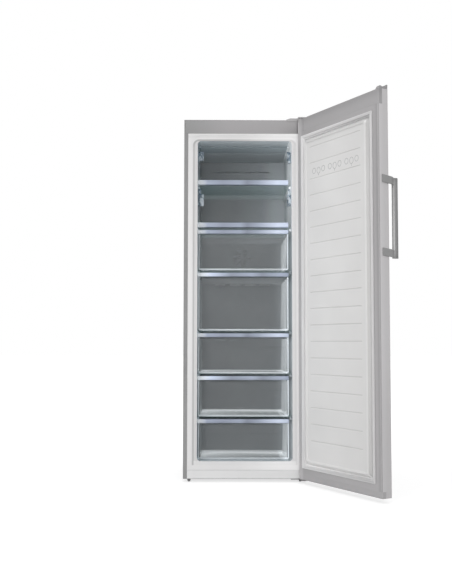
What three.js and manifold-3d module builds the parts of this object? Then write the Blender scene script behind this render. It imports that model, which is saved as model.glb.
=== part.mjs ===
// An upright drawer freezer with its door standing open, in millimetres.
// While it is being built, X runs across the front from the cabinet's middle, Y runs from the
// cabinet's front face towards its back, and Z runs up from the floor.
import * as THREE from 'three'
import * as BufferGeometryUtils from 'three/addons/utils/BufferGeometryUtils.js'
import Module from 'manifold-3d'

const wasm = await Module()
wasm.setup()

// ---------------------------------------------------------------- driving dimensions
// Cabinet
const cabinetWidth = 595
const cabinetDepth = 590
const groundClearance = 16
const steel = 1.2 // folded sheet
const plastic = 2.5 // formed and moulded walls
const fit = 0.3 // gap between pieces that seat on each other
const frontEdgeRadius = 3

// Front frame of the cabinet, from the outside in
const steelEdge = 19.5
const sideFlange = 47
const topBandHeight = 68
const topFlange = 37
const bottomFlange = 43
const plinthHeight = 41
const bandInset = 7
const openingRadius = 18
const sealGrooveInset = 10 // from the opening's edge to the groove for the door seal
const sealGrooveWidth = 18
const sealGrooveDepth = 1.2
const sealGrooveDrop = 17 // how far the groove runs on below the opening

// Compartments, from the floor of the opening up
const bottomDrawerSpace = 203
const drawerSpace = 210
const tallDrawerSpace = 299
const upperSpace = 213
const topSpace = 212

// Liner, shelves and cold air parts
const rearWall = 62
const airDuctDepth = 58
const ledgeReach = 8.5
const ledgeHeight = 9
const ledgeFront = 78
const shelfGlass = 4
const shelfFront = 74
const ceilingStepDepth = 118 // the ceiling drops a little this far in
const ceilingDrop = 5
const evaporatorHeight = 320
const bayWall = 44 // insulation over the compressor bay

// Drawers and flaps
const frontPlane = 60 // from the cabinet's face back to the drawer fronts
const freeSideGap = 3 // between the opening's side and a drawer front
const hingeSideGap = 13 // wider, so that drawers pass the open door
const runningGap = 8 // behind each drawer
const tubInset = 5
const tubRadius = 14
const frontCorner = 8
const railHeight = 3
const lowestRailHeight = 6.4
const trimHeight = 19
const trimDepth = 22
const trimProud = 6
const trimBelowShelf = 7.6 // from the ledge's top face down to a drawer trim
const sideWallDrop = 12 // how far a tub's sides stop below its trim
const flapTrimHeight = 24
const flapRaise = 5 // flap trim above the shelf's underside
const pivotHeight = 145 // flap pivot above its shelf
const pivotRadius = 4
const pinEndGap = 1.2
const pivotSet = 8 // pivot axis behind the flap's face
const bossWidth = 34
const bossDrop = 34 // boss below and above its pivot
const bossRise = 28
const turnGap = 0.5 // round pins and shafts that turn

// Door
const doorGap = 8 // between the cabinet's face and the door's inner face
const doorThickness = 56
const doorBottom = 19.5
const doorTopDrop = 7 // the door's top lies this far below the cabinet's
const frontLip = 25 // the front stands above the door's top and hides the hinge
const lipThickness = 8
const lipCorner = 7
const doorEdgeRadius = 10
const hingeEdgeRadius = 24 // lets the open door clear the cabinet's front edge
const topCapHeight = 64
const curbHeight = 15 // raised free end of the top cap
const hingeCurbHeight = 5.5 // low enough to pass under the hinge plate
const curbLength = 21
const bottomCapHeight = 28
const capFaceDepth = 20 // how far the end caps reach round from the inner face
const sealWidth = 15
const sealEdge = 38 // from the door's edge to the seal
const sealTopEdge = 87 // from the door's top to the seal
const sealBottomEdge = 56
const panelRise = 14 // raised inner panel above the door's inner face
const panelInset = 19 // from the seal's outer edge to the foot of the panel's slope
const panelSlope = 16
const panelRim = 10
const panelRimHeight = 2.5
const grooveCount = 19
const groovePitch = 77
const lowestGroove = 213
const grooveHalfLength = 187
const grooveWidth = 5
const grooveDepth = 1.6
const pivotFromSide = 14
const pivotFromFace = 18
const openAngle = 120

// Handle, on the door's free edge
const armSpacing = 315
const upperArmHeight = 1371
const armHeight = 33
const armThickness = 5
const armStart = 14 // from the door's inner face
const armDrop = 9
const gripReach = 37 // grip's centre in front of the door
const gripInset = 9
const gripDepth = 30
const gripWidth = 20

// Display in the door's front
const displayWidth = 46
const displayHeight = 121
const displayBelowTop = 209
const displayHousingDepth = 14

// Hinges
const hingePlate = 3
const hingePinRadius = 4.5
const hingePinLength = 20
const hingeCoverHeight = 9
const hingeCoverReach = 80 // from the hinge pin to the cover's far end
const hingeCoverRun = 20 // length of the rising end
const hingeNoseReach = 13 // in front of the pin

// Underneath and at the back
const footRadius = 9
const footInset = 28
const footSetback = 32
const rollerRadius = 12
const rollerWidth = 16
const rollerInset = 46
const rollerSetback = 30
const compressorWidth = 200
const compressorDepth = 136
const compressorHeight = 142
const leadHoleInset = 70 // hole for the mains lead, from the cabinet's side
const leadHoleRise = 42
const drainPanHeight = 30
const bayGap = 9
const fanRadius = 50
const fanBlades = 5

// ---------------------------------------------------------------- worked out from them
const halfWidth = cabinetWidth / 2
const flangeHalf = halfWidth - steelEdge
const openingHalf = flangeHalf - sideFlange
const flangeBottom = groundClearance + plinthHeight
const openingBottom = flangeBottom + bottomFlange
const ledgeLevels = [bottomDrawerSpace, drawerSpace, drawerSpace, tallDrawerSpace, upperSpace, upperSpace]
  .map((space, i, all) => openingBottom + all.slice(0, i + 1).reduce((sum, each) => sum + each))
const openingTop = ledgeLevels[5] + topSpace
const bandBottom = openingTop + topFlange
const cabinetTop = bandBottom + topBandHeight
const linerDepth = cabinetDepth - rearWall
const ductFront = linerDepth - airDuctDepth
const frontHalf = openingHalf - (freeSideGap + hingeSideGap) / 2
const frontMiddle = (freeSideGap - hingeSideGap) / 2
const ledgeInner = openingHalf - ledgeReach
const trayTop = groundClearance + 6
const compressorBase = trayTop + 12
const bayTop = compressorBase + compressorHeight + drainPanHeight + 2 * bayGap
const bayFront = cabinetDepth - compressorDepth - 2 * bayGap
const stepTop = bayTop + bayWall
const stepFront = bayFront - bayWall
const doorInner = -doorGap
const doorFront = doorInner - doorThickness
const doorTop = cabinetTop - doorTopDrop
const topCapBottom = doorTop - topCapHeight
const bottomCapTop = doorBottom + bottomCapHeight
const sealHalf = halfWidth - sealEdge
const sealTop = doorTop - sealTopEdge
const sealBottom = doorBottom + sealBottomEdge
const pivotX = halfWidth - pivotFromSide
const pivotY = doorInner - pivotFromFace
const lowerArmHeight = upperArmHeight - armSpacing
const displayTop = doorTop + frontLip - displayBelowTop

// ---------------------------------------------------------------- finishes
const finish = (color, roughness, metalness = 0, opacity = 1) =>
  new THREE.MeshStandardMaterial({ color, roughness, metalness, opacity, transparent: opacity < 1 })
const paintedSteel = finish(0xa6a4a4, 0.45, 0.3)
const brushedSteel = finish(0xb9b8b8, 0.35, 0.9)
const zincSteel = finish(0x9a9c9e, 0.45, 0.8)
const linerWhite = finish(0xdedede, 0.5)
const capGrey = finish(0xa3a1a1, 0.55)
const sealGrey = finish(0xcfcccc, 0.7)
const clearPlastic = finish(0xdfe8ee, 0.15, 0, 0.35)
const trimSilver = finish(0xc3cad8, 0.3, 0.6)
const clearGlass = finish(0xcfe2e0, 0.05, 0, 0.35)
const blackGlass = finish(0x0b0c0e, 0.08)
const handleGrey = finish(0x8a8a8a, 0.35, 0.8)
const blackEnamel = finish(0x1c1d1f, 0.4, 0.3)
const darkPlastic = finish(0x3a3c3e, 0.6)
const foamCream = finish(0xe6dcae, 0.9)
const aluminium = finish(0xc7c9cb, 0.4, 0.9)
const copper = finish(0xb4704a, 0.35, 0.9)

// ---------------------------------------------------------------- shapes
// A closed geometry as a solid that can be joined and cut.
function solid(geometry) {
  geometry.deleteAttribute('normal')
  geometry.deleteAttribute('uv')
  const merged = BufferGeometryUtils.mergeVertices(geometry, 1e-3)
  return new wasm.Manifold(new wasm.Mesh({
    numProp: 3,
    vertProperties: new Float32Array(merged.attributes.position.array),
    triVerts: new Uint32Array(merged.index.array),
  }))
}

function geometryOf(shape) {
  const mesh = shape.getMesh()
  const geometry = new THREE.BufferGeometry()
  geometry.setAttribute('position', new THREE.BufferAttribute(new Float32Array(mesh.vertProperties), 3))
  geometry.setIndex(new THREE.BufferAttribute(new Uint32Array(mesh.triVerts), 1))
  geometry.computeVertexNormals()
  return geometry
}

const join = (first, ...rest) => rest.reduce((sum, each) => sum.add(each), first)
const cut = (first, ...rest) => rest.reduce((left, each) => left.subtract(each), first)
const common = (first, second) => first.intersect(second)

// A block between two values along each axis.
function block([x0, x1], [y0, y1], [z0, z1]) {
  const box = new THREE.BoxGeometry(x1 - x0, y1 - y0, z1 - z0)
  box.translate((x0 + x1) / 2, (y0 + y1) / 2, (z0 + z1) / 2)
  return solid(box)
}

// Turns a geometry made along Z so that it runs along `axis`: an outline's first and second
// coordinates become Y and Z along X, X and Z along Y, and X and Y along Z.
function along(axis, geometry, from, to) {
  if (axis === 'z') return geometry.translate(0, 0, from)
  if (axis === 'y') return geometry.rotateX(Math.PI / 2).translate(0, to, 0)
  const turn = new THREE.Matrix4().makeBasis(
    new THREE.Vector3(0, 1, 0), new THREE.Vector3(0, 0, 1), new THREE.Vector3(1, 0, 0))
  return geometry.applyMatrix4(turn).translate(from, 0, 0)
}

function prism(outline, axis, from, to, steps = 4) {
  const settings = { depth: to - from, bevelEnabled: false, curveSegments: steps }
  return solid(along(axis, new THREE.ExtrudeGeometry(outline, settings), from, to))
}

function outlineOf(points) {
  return new THREE.Shape(points.map(([u, v]) => new THREE.Vector2(u, v)))
}

// A rectangle with its own radius at the low corners and at the high corners.
function rectangle([u0, u1], [v0, v1], lowRadius = 0, highRadius = lowRadius) {
  const shape = new THREE.Shape()
  shape.moveTo(u0 + lowRadius, v0).lineTo(u1 - lowRadius, v0)
  if (lowRadius) shape.absarc(u1 - lowRadius, v0 + lowRadius, lowRadius, -Math.PI / 2, 0)
  shape.lineTo(u1, v1 - highRadius)
  if (highRadius) shape.absarc(u1 - highRadius, v1 - highRadius, highRadius, 0, Math.PI / 2)
  shape.lineTo(u0 + highRadius, v1)
  if (highRadius) shape.absarc(u0 + highRadius, v1 - highRadius, highRadius, Math.PI / 2, Math.PI)
  shape.lineTo(u0, v0 + lowRadius)
  if (lowRadius) shape.absarc(u0 + lowRadius, v0 + lowRadius, lowRadius, Math.PI, 1.5 * Math.PI)
  return shape
}

function disc(u, v, radius) {
  return new THREE.Shape().absarc(u, v, radius, 0, 2 * Math.PI)
}

const rod = (axis, [u, v], radius, from, to, steps = 16) => prism(disc(u, v, radius), axis, from, to, steps)

// A solid whose ends are two outlines with the same number of points.
function loft(low, high, axis, from, to, steps = 4) {
  const [first, last] = axis === 'y' ? [high, low] : [low, high]
  const distinct = ({ shape }) => shape.filter((point, i) =>
    point.distanceTo(shape[(i + shape.length - 1) % shape.length]) > 1e-4)
  const start = distinct(first.extractPoints(steps))
  const end = distinct(last.extractPoints(steps))
  const count = start.length
  const positions = [...start.flatMap(({ x, y }) => [x, y, 0]), ...end.flatMap(({ x, y }) => [x, y, to - from])]
  const faces = []
  for (let i = 0; i < count; i++) {
    const next = (i + 1) % count
    faces.push(i, next, count + next, i, count + next, count + i)
  }
  for (const [a, b, c] of THREE.ShapeUtils.triangulateShape(start, [])) {
    faces.push(a, c, b, count + a, count + b, count + c)
  }
  const geometry = new THREE.BufferGeometry()
  geometry.setAttribute('position', new THREE.Float32BufferAttribute(positions, 3))
  geometry.setIndex(faces)
  return solid(along(axis, geometry, from, to))
}

// A body of revolution about a vertical axis, from [radius, height] points on and off the axis.
function turned(profile, sides = 24) {
  const points = profile.map(([radius, height]) => new THREE.Vector2(radius, height))
  return new THREE.LatheGeometry(points, sides).rotateX(Math.PI / 2)
}

// ---------------------------------------------------------------- cabinet
// Painted steel wrap: two sides and the top in one piece, folded in at the front.
function outerShell() {
  const plan = rectangle([-halfWidth, halfWidth], [0, cabinetDepth], frontEdgeRadius, 0)
  const hollow = rectangle([-halfWidth + steel, halfWidth - steel], [steel, cabinetDepth + 1],
    frontEdgeRadius - steel, 0)
  const bandHalf = halfWidth - bandInset
  return cut(prism(plan, 'z', groundClearance, cabinetTop),
    prism(hollow, 'z', groundClearance - 1, cabinetTop - steel),
    block([-flangeHalf, flangeHalf], [-1, steel + 1], [groundClearance - 1, bandBottom + 1]),
    block([-bandHalf, bandHalf], [-1, steel + 1], [bandBottom, cabinetTop - steel]))
}

// Band across the front above the opening.
function topBand() {
  const half = halfWidth - bandInset - fit
  const face = block([-half, half], [0, steel], [bandBottom + fit, cabinetTop - steel - fit])
  const lowerFold = block([-flangeHalf, flangeHalf], [0, plastic], [bandBottom + fit, bandBottom + fit + steel])
  return join(face, lowerFold)
}

function openingOutline(grow) {
  return rectangle([-openingHalf - grow, openingHalf + grow],
    [openingBottom - grow, openingTop + grow], openingRadius + grow)
}

// The space inside the liner, or its outside where `grow` is the wall: a deep pocket with a step
// over the compressor bay and a lower ceiling behind the front part.
function linerPocket(grow, from) {
  const wide = openingHalf + grow + 1
  return cut(prism(openingOutline(grow), 'y', from, linerDepth + grow),
    block([-wide, wide], [stepFront + grow, cabinetDepth], [0, stepTop - grow]),
    block([-wide, wide], [ceilingStepDepth + grow, cabinetDepth],
      [openingTop - ceilingDrop + grow, openingTop + grow + 1]))
}

// Groove in the front flange, up both sides and across the top, where the door seal lies.
function sealGroove() {
  const inner = sealGrooveInset
  const outer = sealGrooveInset + sealGrooveWidth
  const end = openingBottom - sealGrooveDrop + sealGrooveWidth / 2
  const ring = cut(prism(openingOutline(outer), 'y', -1, sealGrooveDepth),
    prism(openingOutline(inner), 'y', -2, sealGrooveDepth + 1),
    block([-halfWidth, halfWidth], [-2, sealGrooveDepth + 1], [0, end]))
  const middle = openingHalf + (inner + outer) / 2
  const roundEnd = (x) => rod('y', [x, end], sealGrooveWidth / 2, -1, sealGrooveDepth, 8)
  return join(ring, roundEnd(-middle), roundEnd(middle))
}

// One moulded ledge along each side for a shelf, flat on top and sloping underneath.
function ledges(level) {
  const profile = (side) => [[openingHalf + plastic / 2, level], [ledgeInner, level],
    [ledgeInner, level - ledgeHeight], [openingHalf + plastic / 2, level - ledgeHeight - ledgeReach * 0.7]]
    .map(([u, v]) => [side * u, v])
  const right = profile(1)
  const left = profile(-1).reverse()
  return join(prism(outlineOf(right), 'y', ledgeFront, ductFront - fit),
    prism(outlineOf(left), 'y', ledgeFront, ductFront - fit))
}

// White formed liner with the front flange, the seal groove and a ledge for each shelf.
function innerLiner() {
  const flange = block([-flangeHalf + fit, flangeHalf - fit], [0, plastic],
    [flangeBottom + fit, bandBottom - fit])
  const shell = cut(join(flange, linerPocket(plastic, 0)), linerPocket(0, -1), sealGroove())
  return join(shell, ...ledgeLevels.map(ledges))
}

// Rigid foam that fills the space between the shell and the liner.
function cabinetFoam() {
  const half = halfWidth - steel - fit
  const filling = block([-half, half], [plastic + fit, cabinetDepth - steel - fit],
    [flangeBottom + steel + 2 * fit, cabinetTop - steel - fit])
  return cut(filling, linerPocket(plastic + fit, 0),
    block([-half - 1, half + 1], [bayFront - steel - fit, cabinetDepth], [0, bayTop + steel + 2 * fit]))
}

// Folded sheet under the foam, stepping up over the compressor bay.
function floorSheet() {
  const low = flangeBottom + fit
  const profile = [[plastic + fit, low], [bayFront, low], [bayFront, bayTop + fit],
    [cabinetDepth - steel - fit, bayTop + fit], [cabinetDepth - steel - fit, bayTop + fit + steel],
    [bayFront - steel, bayTop + fit + steel], [bayFront - steel, low + steel], [plastic + fit, low + steel]]
  const half = halfWidth - steel - fit
  return prism(outlineOf(profile), 'x', -half, half)
}

// Flat sheet across the back, with long pressed ribs.
function backPanel() {
  const half = halfWidth - steel - fit
  const bottom = bayTop + 2 * steel + fit
  const sheet = block([-half, half], [cabinetDepth - steel, cabinetDepth], [bottom, cabinetTop - steel - fit])
  const ribHalf = 9
  const ribs = [-0.6, -0.2, 0.2, 0.6].map((share) => prism(outlineOf([
    [share * half - ribHalf, cabinetDepth - steel / 2], [share * half + ribHalf, cabinetDepth - steel / 2],
    [share * half + ribHalf - 4, cabinetDepth + 2], [share * half - ribHalf + 4, cabinetDepth + 2]]),
  'z', bottom + 40, cabinetTop - 60))
  return join(sheet, ...ribs)
}

// Channel across the bottom front that carries the feet and the lower hinge.
const railFront = plastic + fit
const railBack = footSetback + footRadius + 9
const railBottom = groundClearance + 4
function frontRail() {
  const top = flangeBottom
  const profile = [[railFront, railBottom], [railBack, railBottom], [railBack, railBottom + steel * 2],
    [railFront + steel * 2, railBottom + steel * 2], [railFront + steel * 2, top - steel * 2],
    [railBack, top - steel * 2], [railBack, top], [railFront, top]]
  const half = halfWidth - steel - fit
  const studHole = (x) => rod('z', [x, footSetback], footRadius / 2 + turnGap, railBottom - 1, railBottom + 6)
  return cut(prism(outlineOf(profile), 'x', -half, half),
    studHole(-halfWidth + footInset), studHole(halfWidth - footInset))
}

// White kick plate under the liner's flange, clipped to the front rail.
function plinth() {
  const half = flangeHalf - fit
  const top = flangeBottom - fit
  const face = block([-half, half], [0, plastic], [groundClearance, top])
  const lip = block([-half, half], [0, plastic * 3], [groundClearance, groundClearance + plastic])
  return join(face, lip)
}

// Sheet tray at the back for the compressor, with upturned sides and forks for the rollers.
const trayFront = bayFront + bayGap
const trayBack = cabinetDepth - steel - fit
const rollerY = cabinetDepth - rollerSetback
function baseTray() {
  const half = halfWidth - steel - fit
  const gauge = steel * 1.5
  const floor = block([-half, half], [trayFront, trayBack], [trayTop - gauge, trayTop])
  const upturn = (x0) => block([x0, x0 + gauge], [trayFront, trayBack], [trayTop - gauge, trayTop + 40])
  const frontUpturn = block([-half, half], [trayFront, trayFront + gauge], [trayTop - gauge, trayTop + 14])
  const cutOut = (side) => block([side * (halfWidth - rollerInset) - rollerWidth / 2 - 1.5,
    side * (halfWidth - rollerInset) + rollerWidth / 2 + 1.5],
  [rollerY - rollerRadius - 2, rollerY + rollerRadius + 2], [trayTop - gauge - 1, trayTop + 1])
  const ear = (side, offset) => {
    const x = side * (halfWidth - rollerInset) + offset
    const outline = outlineOf([[rollerY - 8, rollerRadius - 5], [rollerY + 8, rollerRadius - 5],
      [rollerY + 14, trayTop], [rollerY - 14, trayTop]])
    return prism(outline, 'x', x - gauge / 2, x + gauge / 2)
  }
  const gapHalf = rollerWidth / 2 + 1.5 + gauge / 2
  const axle = (side) => rod('x', [rollerY, rollerRadius], 3,
    side * (halfWidth - rollerInset) - gapHalf, side * (halfWidth - rollerInset) + gapHalf, 10)
  const fork = (side) => join(ear(side, -gapHalf), ear(side, gapHalf), axle(side))
  return join(cut(join(floor, upturn(-half), upturn(half - gauge), frontUpturn), cutOut(-1), cutOut(1)),
    fork(-1), fork(1))
}

function rearRoller() {
  const half = rollerWidth / 2
  const wheel = rod('x', [0, 0], rollerRadius, -half, half, 20)
  return cut(wheel, rod('x', [0, 0], 3 + turnGap, -half - 1, half + 1, 12))
}

// Turned plastic foot on a threaded stud.
function levellingFoot() {
  const studTop = railBottom + 26
  return turned([[0, 0], [footRadius - 3, 0], [footRadius - 2.5, 1.5], [footRadius, groundClearance - 4],
    [footRadius, groundClearance], [footRadius / 2, groundClearance], [footRadius / 2, studTop], [0, studTop]], 16)
}

// ---------------------------------------------------------------- shelves, flaps and drawers
function glassShelf(level) {
  const half = openingHalf - fit
  const plan = rectangle([-half, half], [shelfFront, ductFront - fit], 6, 0)
  return prism(plan, 'z', level + fit, level + fit + shelfGlass, 3)
}

// Silver handle strip along the edge of a front panel. The slot for the panel opens at `edge`
// and runs up into the strip, or down into it when `up` is -1.
const slotRoof = 5
function frontTrim(edge, up, height) {
  const slotDepth = height - slotRoof
  const face = frontPlane - trimProud
  const rear = face + trimDepth
  const section = [[face, 2], [face + 2, 0], [frontPlane - fit, 0], [frontPlane - fit, slotDepth],
    [frontPlane + plastic + fit, slotDepth], [frontPlane + plastic + fit, 0], [frontPlane + plastic + 3, 0],
    [frontPlane + plastic + 3, slotDepth], [rear, slotDepth + 1], [rear, height], [face + 3, height],
    [face, height - 3]].map(([y, z]) => [y, edge + up * z])
  return prism(outlineOf(section), 'x', frontMiddle - frontHalf, frontMiddle + frontHalf)
}

// Clear moulded tub: a rounded bin with a rim and floor rails behind a wider flat front.
function drawerTub(floor, trimTop, back, railTall) {
  const tubHalf = frontHalf - tubInset
  const sideTop = trimTop - trimHeight - sideWallDrop + slotRoof
  const tubFloor = floor + fit + railTall
  const bin = (inset, z0, z1) => prism(rectangle([-tubHalf + inset, tubHalf - inset],
    [frontPlane + inset, back - inset], tubRadius - inset), 'z', z0, z1)
  const rim = prism(rectangle([-frontHalf + 1, frontHalf - 1], [frontPlane + 1, back + 3], tubRadius),
    'z', sideTop - plastic, sideTop)
  const face = prism(rectangle([-frontHalf, frontHalf], [tubFloor, trimTop - slotRoof - fit], frontCorner, 0),
    'y', frontPlane, frontPlane + plastic)
  const rail = (x) => block([x - 6, x + 6], [frontPlane + 14, back - 20], [floor + fit, tubFloor + 1])
  const bead = block([-frontHalf + 8, frontHalf - 8], [frontPlane - 1, frontPlane + 0.8],
    [trimTop - 72, trimTop - 68])
  const tub = join(bin(0, tubFloor, sideTop), rim, rail(-tubHalf * 0.8), rail(tubHalf * 0.8))
  return cut(join(cut(tub, bin(plastic, tubFloor + plastic, sideTop + 1)), face), bead).translate([frontMiddle, 0, 0])
}

// Clear flap in front of a shelf, with a boss and a pin at each upper corner.
function flapPanel(level) {
  const pivotZ = level + pivotHeight
  const [left, right] = [frontMiddle - frontHalf, frontMiddle + frontHalf]
  const sheet = block([left, right], [frontPlane, frontPlane + plastic],
    [level + flapRaise + slotRoof + fit, pivotZ + 12])
  const boss = (x0, x1) => block([x0, x1], [frontPlane, frontPlane + pivotSet + 6],
    [pivotZ - bossDrop, pivotZ + bossRise])
  const pin = (x0, x1) => rod('x', [frontPlane + pivotSet, pivotZ], pivotRadius, x0, x1, 12)
  return join(sheet, boss(left, left + bossWidth), boss(right - bossWidth, right),
    pin(-openingHalf + pinEndGap, left + 1), pin(right - 1, openingHalf - pinEndGap))
}

// Clear bearing block on the liner's side wall for a flap's pin.
function pivotBlock(level, side) {
  const pivotZ = level + pivotHeight
  const outer = openingHalf - fit
  const [from, to] = side < 0 ? [-outer, frontMiddle - frontHalf - turnGap] : [frontMiddle + frontHalf + turnGap, outer]
  const outline = rectangle([frontPlane - 8, frontPlane + pivotSet + 14], [pivotZ - 30, pivotZ + 22], 5)
  return cut(prism(outline, 'x', from, to, 3),
    rod('x', [frontPlane + pivotSet, pivotZ], pivotRadius + turnGap, from - 1, to + 1, 12))
}

// ---------------------------------------------------------------- cold air and cooling parts
const fanHeight = (ledgeLevels[3] + ledgeLevels[4]) / 2
// Inner back wall with the fan grille and one row of air slots for each compartment.
function ductCover() {
  const sheet = common(prism(openingOutline(-fit), 'y', ductFront, ductFront + plastic),
    block([-openingHalf, openingHalf], [ductFront - 1, ductFront + plastic + 1],
      [stepTop + fit, openingTop - ceilingDrop - fit]))
  const slots = []
  for (const level of [...ledgeLevels.slice(1, 4), openingTop - 20]) {
    for (const x of [-120, -40, 40, 120]) slots.push([x - 28, x + 28, level - 42])
  }
  for (let row = -4; row <= 4; row++) {
    const height = row * 10
    const reach = Math.sqrt(fanRadius ** 2 - height ** 2)
    slots.push([-reach, reach, fanHeight + height - 3])
  }
  const openings = slots.map(([x0, x1, z]) => block([x0, x1], [ductFront - 1, ductFront + plastic + 1], [z, z + 6]))
  return cut(sheet, ...openings)
}

// Finned evaporator: thin fins standing on a plate against the liner's back.
const evaporatorTop = fanHeight - fanRadius - 30
function evaporator() {
  const half = openingHalf - 36
  const rear = linerDepth - fit
  const front = ductFront + plastic + 10
  const fins = 18
  const points = [[half, rear], [-half, rear]]
  for (let i = 0; i < fins; i++) {
    const x = -half + (2 * half - 2) * i / (fins - 1)
    points.push([x, rear - 8], [x, front], [x + 2, front], [x + 2, rear - 8])
  }
  return prism(outlineOf(points), 'z', evaporatorTop - evaporatorHeight, evaporatorTop)
}

// Fan motor on a cross bracket against the liner's back.
const hubRadius = 14
const bladeFront = ductFront + plastic + 8
const bladeBack = bladeFront + 20
function fanMotor() {
  const rear = linerDepth - fit
  const can = rod('y', [0, fanHeight], 22, bladeBack + 4, rear, 20)
  const bracket = block([-fanRadius - 18, fanRadius + 18], [rear - 4, rear], [fanHeight - 9, fanHeight + 9])
  const shaft = rod('y', [0, fanHeight], 3, bladeFront + 4, bladeBack + 5, 10)
  return join(can, bracket, shaft)
}

function fanBlade() {
  const middle = (bladeFront + bladeBack) / 2
  const hub = rod('y', [0, 0], hubRadius, bladeFront - middle, bladeBack - middle, 20)
  const blades = []
  for (let i = 0; i < fanBlades; i++) {
    const sail = new THREE.Shape().moveTo(hubRadius - 3, -6)
      .quadraticCurveTo(fanRadius * 0.5, -22, fanRadius - 2, -16).lineTo(fanRadius - 2, 12)
      .quadraticCurveTo(fanRadius * 0.5, 4, hubRadius - 3, 6)
    const sheet = new THREE.ExtrudeGeometry(sail, { depth: 1.6, bevelEnabled: false, curveSegments: 5 })
    sheet.translate(0, 0, -0.8).rotateX(Math.PI / 2 + 0.4).rotateY(i * 2 * Math.PI / fanBlades)
    blades.push(solid(sheet))
  }
  return cut(join(hub, ...blades), rod('y', [0, 0], 3 + turnGap, bladeFront - middle + 3, bladeBack - middle + 1, 12))
}

// Domed compressor can on a plate with four rubber feet.
const compressorX = -80
const compressorY = (bayFront + cabinetDepth) / 2
function compressor() {
  const wide = compressorWidth / 2
  const deep = compressorDepth / 2
  const tall = compressorHeight
  const seam = tall * 0.52
  const can = turned([[0, 8], [deep * 0.7, 8], [deep * 0.93, 20], [deep * 0.95, seam - 4], [deep, seam - 4],
    [deep, seam + 4], [deep * 0.95, seam + 4], [deep * 0.92, tall * 0.8], [deep * 0.72, tall * 0.95],
    [deep * 0.3, tall], [0, tall]], 28).scale((wide - 12) / deep, 1, 1)
  can.translate(compressorX, compressorY, compressorBase)
  const plate = block([compressorX - wide, compressorX + wide], [compressorY - deep * 0.75, compressorY + deep * 0.75],
    [compressorBase, compressorBase + 10])
  const feet = [[-1, -1], [1, -1], [-1, 1], [1, 1]].map(([sx, sy]) => rod('z',
    [compressorX + sx * (wide - 12), compressorY + sy * (deep * 0.75 - 12)], 9, trayTop + fit, compressorBase + 1, 10))
  return join(solid(can), plate, ...feet)
}

// Open pan on top of the compressor that catches and dries the meltwater.
function drainPan() {
  const wide = compressorWidth * 0.42
  const deep = compressorDepth * 0.4
  const base = compressorBase + compressorHeight + fit
  const outer = rectangle([compressorX - wide, compressorX + wide], [compressorY - deep, compressorY + deep], 10)
  const inner = rectangle([compressorX - wide + plastic, compressorX + wide - plastic],
    [compressorY - deep + plastic, compressorY + deep - plastic], 10 - plastic)
  return cut(prism(outer, 'z', base, base + drainPanHeight),
    prism(inner, 'z', base + plastic, base + drainPanHeight + 1))
}

// Copper pipe from the compressor's side up to the roof of its bay.
function refrigerantPipe() {
  const x = compressorX + (compressorWidth / 2 - 12) * 0.95 + fit
  const z = compressorBase + compressorHeight * 0.35
  const route = new THREE.CatmullRomCurve3([[x, 0, z], [x + 30, 0, z], [x + 62, 8, z + 8], [x + 74, 12, z + 44],
    [x + 74, 12, bayTop - 30], [x + 74, 12, bayTop]].map(([px, py, pz]) => new THREE.Vector3(px, compressorY + py, pz)))
  return solid(new THREE.ExtrudeGeometry(disc(0, 0, 4), { extrudePath: route, steps: 22, curveSegments: 4 }))
}

// Removable sheet over the bay's back, with rows of air slots and the hole for the mains lead.
function bayCover() {
  const half = halfWidth - steel - fit
  const sheet = block([-half, half], [cabinetDepth - steel, cabinetDepth], [trayTop + fit, bayTop + steel + fit])
  const slots = []
  for (let row = 0; row < 5; row++) {
    for (let column = -3; column <= 2; column++) {
      const x = column * 70 + 6
      const z = trayTop + 58 + row * 22
      slots.push(block([x, x + 52], [cabinetDepth - 3, cabinetDepth + 1], [z, z + 7]))
    }
  }
  return cut(sheet, ...slots, rod('y', [halfWidth - leadHoleInset, trayTop + leadHoleRise], 9, cabinetDepth - 3, cabinetDepth + 1))
}

// ---------------------------------------------------------------- hinges
const hingeScrews = [pivotX - 54, pivotX - 30, pivotX - 6]

// Steel plate screwed to the cabinet's top, reaching out over the door to a fixed pin.
function topHinge() {
  const base = cabinetTop + fit
  const left = pivotX - hingeCoverReach + 10
  const outline = new THREE.Shape().moveTo(left, 10).lineTo(pivotX - 22, 10).lineTo(pivotX - 11, pivotY)
    .absarc(pivotX, pivotY, 11, Math.PI, 2 * Math.PI).lineTo(pivotX + 11, 44)
    .lineTo(left, 44)
  const plate = prism(outline, 'z', base, base + hingePlate, 6)
  const pin = rod('z', [pivotX, pivotY], hingePinRadius, doorTop - hingePinLength, base + 1)
  const screws = hingeScrews.map((x) => rod('z', [x, 27], 5.5, base + 1, base + hingePlate + 2, 10))
  return join(plate, pin, ...screws)
}

// Moulded cover clipped over the plate, with a low nose over its arm and hollow underneath.
function hingeCover() {
  const base = cabinetTop + fit
  const left = pivotX - hingeCoverReach
  const right = halfWidth - fit
  const crown = base + hingeCoverHeight
  const roof = base + hingePlate + fit
  const section = outlineOf([[left, base], [right, base], [right, crown - 2], [right - 3, crown],
    [left + hingeCoverRun, crown], [left, base + 2]])
  const nose = block([pivotX - 24, right], [pivotY - hingeNoseReach, 3], [base, roof + 1.6])
  const overPlate = block([left + 8, right - plastic], [7, 54 - plastic], [base - 1, roof])
  const overArm = block([pivotX - 22, right - plastic], [pivotY - hingeNoseReach + 1.6, 40], [base - 1, roof])
  const screwRooms = hingeScrews.map((x) => rod('z', [x, 27], 5.5 + fit, base, roof + 2, 10))
  return cut(join(prism(section, 'y', 2, 54), nose), overPlate, overArm, ...screwRooms)
}

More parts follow.
